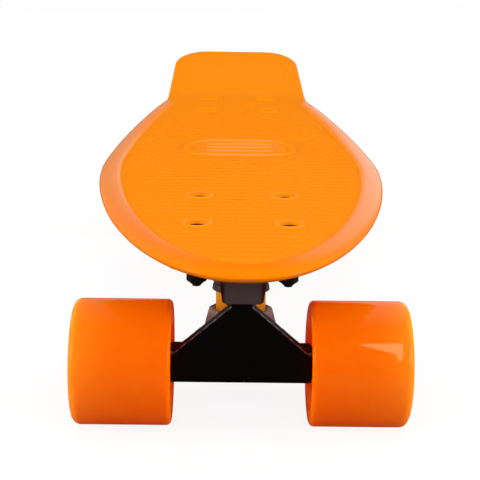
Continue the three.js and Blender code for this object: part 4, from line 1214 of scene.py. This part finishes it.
# Floor, light and camera

WORLD_LIGHT, FLOOR_GLOW, CARD_GLOW = 0.3, 1.03, 8.5
FLOOR_LIT, FLOOR_SEEN, FLOOR_HALF = (0.14, 0.14, 0.14), (0.95, 0.95, 0.95), 8
WINDOW_OPENS, WINDOW_CLOSES, STUDIO_RISES = (-0.25, 0.2), (0.28, 0.5), (-0.1, 0.7)
WINDOW_SHARE, STUDIO_LEAST = 0.73, 0.03
NEAR_FLOOR_SHARE, NEAR_FLOOR_REACH, NEAR_FLOOR_RATE, NEAR_FLOOR_ROUNDING = 0.85, 0.3, 0.3, 0.1

# A warm card beside the camera, whose reflection is the wedge on the right wheel
CARD_CORNERS = (
    (183, -895, 1028), (202, -856, 1056), (300, -800, 1068), (300, -1288, 559),
    (243, -1286, 565), (239, -1163, 764), (222, -1077, 868), (202, -976, 965),
)

# Softboxes: name, place, target, width, height, power, and whether gloss mirrors it
SOFTBOXES = [
    ("top softbox", (0.1, -0.2, 1.8), (0, -0.05, 0.08), 2.2, 2.2, 8.5, False),
    ("front softbox", (0, -1.8, 1.0), (0, -0.2, 0.04), 3.2, 0.8, 23, False),
    ("back softbox", (0, 1.8, 0.7), (0, 0.1, 0.04), 3.2, 0.8, 12, False),
    ("right softbox", (1.4, -0.5, 0.4), (0, -0.15, 0.05), 0.5, 0.6, 10, False),
    ("right glint box", (1.344, -0.49, 0.39), (0, -0.15, 0.05), 0.5, 0.6, 4, True),
    ("left softbox", (-1.4, -0.5, 0.4), (0, -0.15, 0.05), 0.5, 0.6, 10, False),
    ("left glint box", (-1.344, -0.49, 0.39), (0, -0.15, 0.05), 0.5, 0.6, 4, True),
]

CAMERA_PLACE, CAMERA_LENS, CAMERA_SENSOR = (-0.0093, -0.731, 0.2383), 91.725, 36
CAMERA_TURN, CAMERA_FALL, CAMERA_ROLL = -0.86, 15.48, 0.95


def floor_finish():
    """A pale floor that the camera sees as white but for the object's soft shadow."""
    finish = Finish("pale floor", Roughness=0.9, Specular_IOR_Level=0.0)
    seen = finish.add("LightPath")
    finish.set(Base_Color=finish.between(seen, FLOOR_LIT, FLOOR_SEEN))
    glow = finish.add("Emission", Color=(1, 1, 1), Strength=FLOOR_GLOW)
    away = finish.add("VectorMath", {"operation": "LENGTH"}, out=1, i0=finish.place())
    far = ((away - NEAR_FLOOR_REACH) * NEAR_FLOOR_RATE).math("SMOOTH_MIN", 1, NEAR_FLOOR_ROUNDING)
    glowing = far.math("MAXIMUM", 0) * (1 - NEAR_FLOOR_SHARE) + NEAR_FLOOR_SHARE
    share = seen * glowing.math("MINIMUM", 1)
    shaded = Value(finish.tree, finish.shader.outputs[0])
    mixed = finish.add("MixShader", i0=share, i1=shaded, i2=glow)
    put(finish.tree, finish.tree.nodes["Material Output"].inputs["Surface"], mixed)
    return finish.material


def staged(name, corners, material):
    """A flat face of the studio, in metres, that isn't part of the object."""
    mesh = mesh_of((np.array(corners, float), [list(range(len(corners)))]), name)
    mesh.materials.append(material)
    obj = bpy.data.objects.new(name, mesh)
    bpy.context.scene.collection.objects.link(obj)
    return obj


def make_floor():
    half = FLOOR_HALF
    corners = [(-half, -half, 0), (half, -half, 0), (half, half, 0), (-half, half, 0)]
    staged("floor", corners, floor_finish())


def make_world():
    """A world that is white to the camera, and in reflections brightest behind the object."""
    world = bpy.data.worlds.new("studio")
    bpy.context.scene.world = world
    world.use_nodes = True
    tree = world.node_tree

    def ray(kind):
        return node_in(tree, "LightPath", out=f"Is {kind} Ray")

    def ramp(axis, low, high):
        along = node_in(tree, "SeparateXYZ", out=axis, i0=node_in(tree, "TexCoord"))
        smooth = {"interpolation_type": "SMOOTHSTEP"}
        return node_in(tree, "MapRange", smooth, Value=along, From_Min=low, From_Max=high)

    window = ramp("X", *WINDOW_OPENS) * (1 - ramp("X", *WINDOW_CLOSES))
    studio = ramp("Y", *STUDIO_RISES) * (window * WINDOW_SHARE + (1 - WINDOW_SHARE)) + STUDIO_LEAST
    mirrored = (ray("Glossy") + ray("Transmission")) * studio
    strength = (ray("Camera") + mirrored).math("MINIMUM", 1) + ray("Diffuse") * WORLD_LIGHT
    background = tree.nodes["Background"]
    put(tree, background.inputs["Color"], (1, 1, 1))
    put(tree, background.inputs["Strength"], strength)


def make_softbox(name, place, target, width, height, power, mirrored):
    light = bpy.data.lights.new(name, "AREA")
    light.shape = "RECTANGLE"
    light.size, light.size_y = width, height
    light.energy = power
    obj = bpy.data.objects.new(name, light)
    obj.location = place
    obj.visible_glossy = mirrored
    obj.rotation_euler = (Vector(target) - Vector(place)).to_track_quat("-Z", "Y").to_euler()
    bpy.context.scene.collection.objects.link(obj)


def make_card():
    """The card, which only gloss shows."""
    finish = Finish("card", Base_Color=(1, 1, 1), Emission_Color=(1, 0.95, 0.47), Emission_Strength=CARD_GLOW)
    card = staged("card", np.array(CARD_CORNERS) / 1000, finish.material)
    card.visible_camera = card.visible_diffuse = card.visible_shadow = card.visible_transmission = False


def make_camera():
    camera = bpy.data.cameras.new("camera")
    camera.lens, camera.sensor_width = CAMERA_LENS, CAMERA_SENSOR
    camera.clip_start, camera.clip_end = 0.01, 50
    obj = bpy.data.objects.new("camera", camera)
    turn = Matrix.Rotation(math.radians(CAMERA_TURN), 4, "Z")
    tilt = Matrix.Rotation(math.radians(90 - CAMERA_FALL), 4, "X")
    roll = Matrix.Rotation(math.radians(CAMERA_ROLL), 4, "Z")
    obj.matrix_world = Matrix.Translation(CAMERA_PLACE) @ turn @ tilt @ roll
    bpy.context.scene.collection.objects.link(obj)
    bpy.context.scene.camera = obj


make_floor()
make_world()
for softbox in SOFTBOXES:
    make_softbox(*softbox)
make_card()
make_camera()
bpy.context.scene.view_settings.view_transform = "Standard"
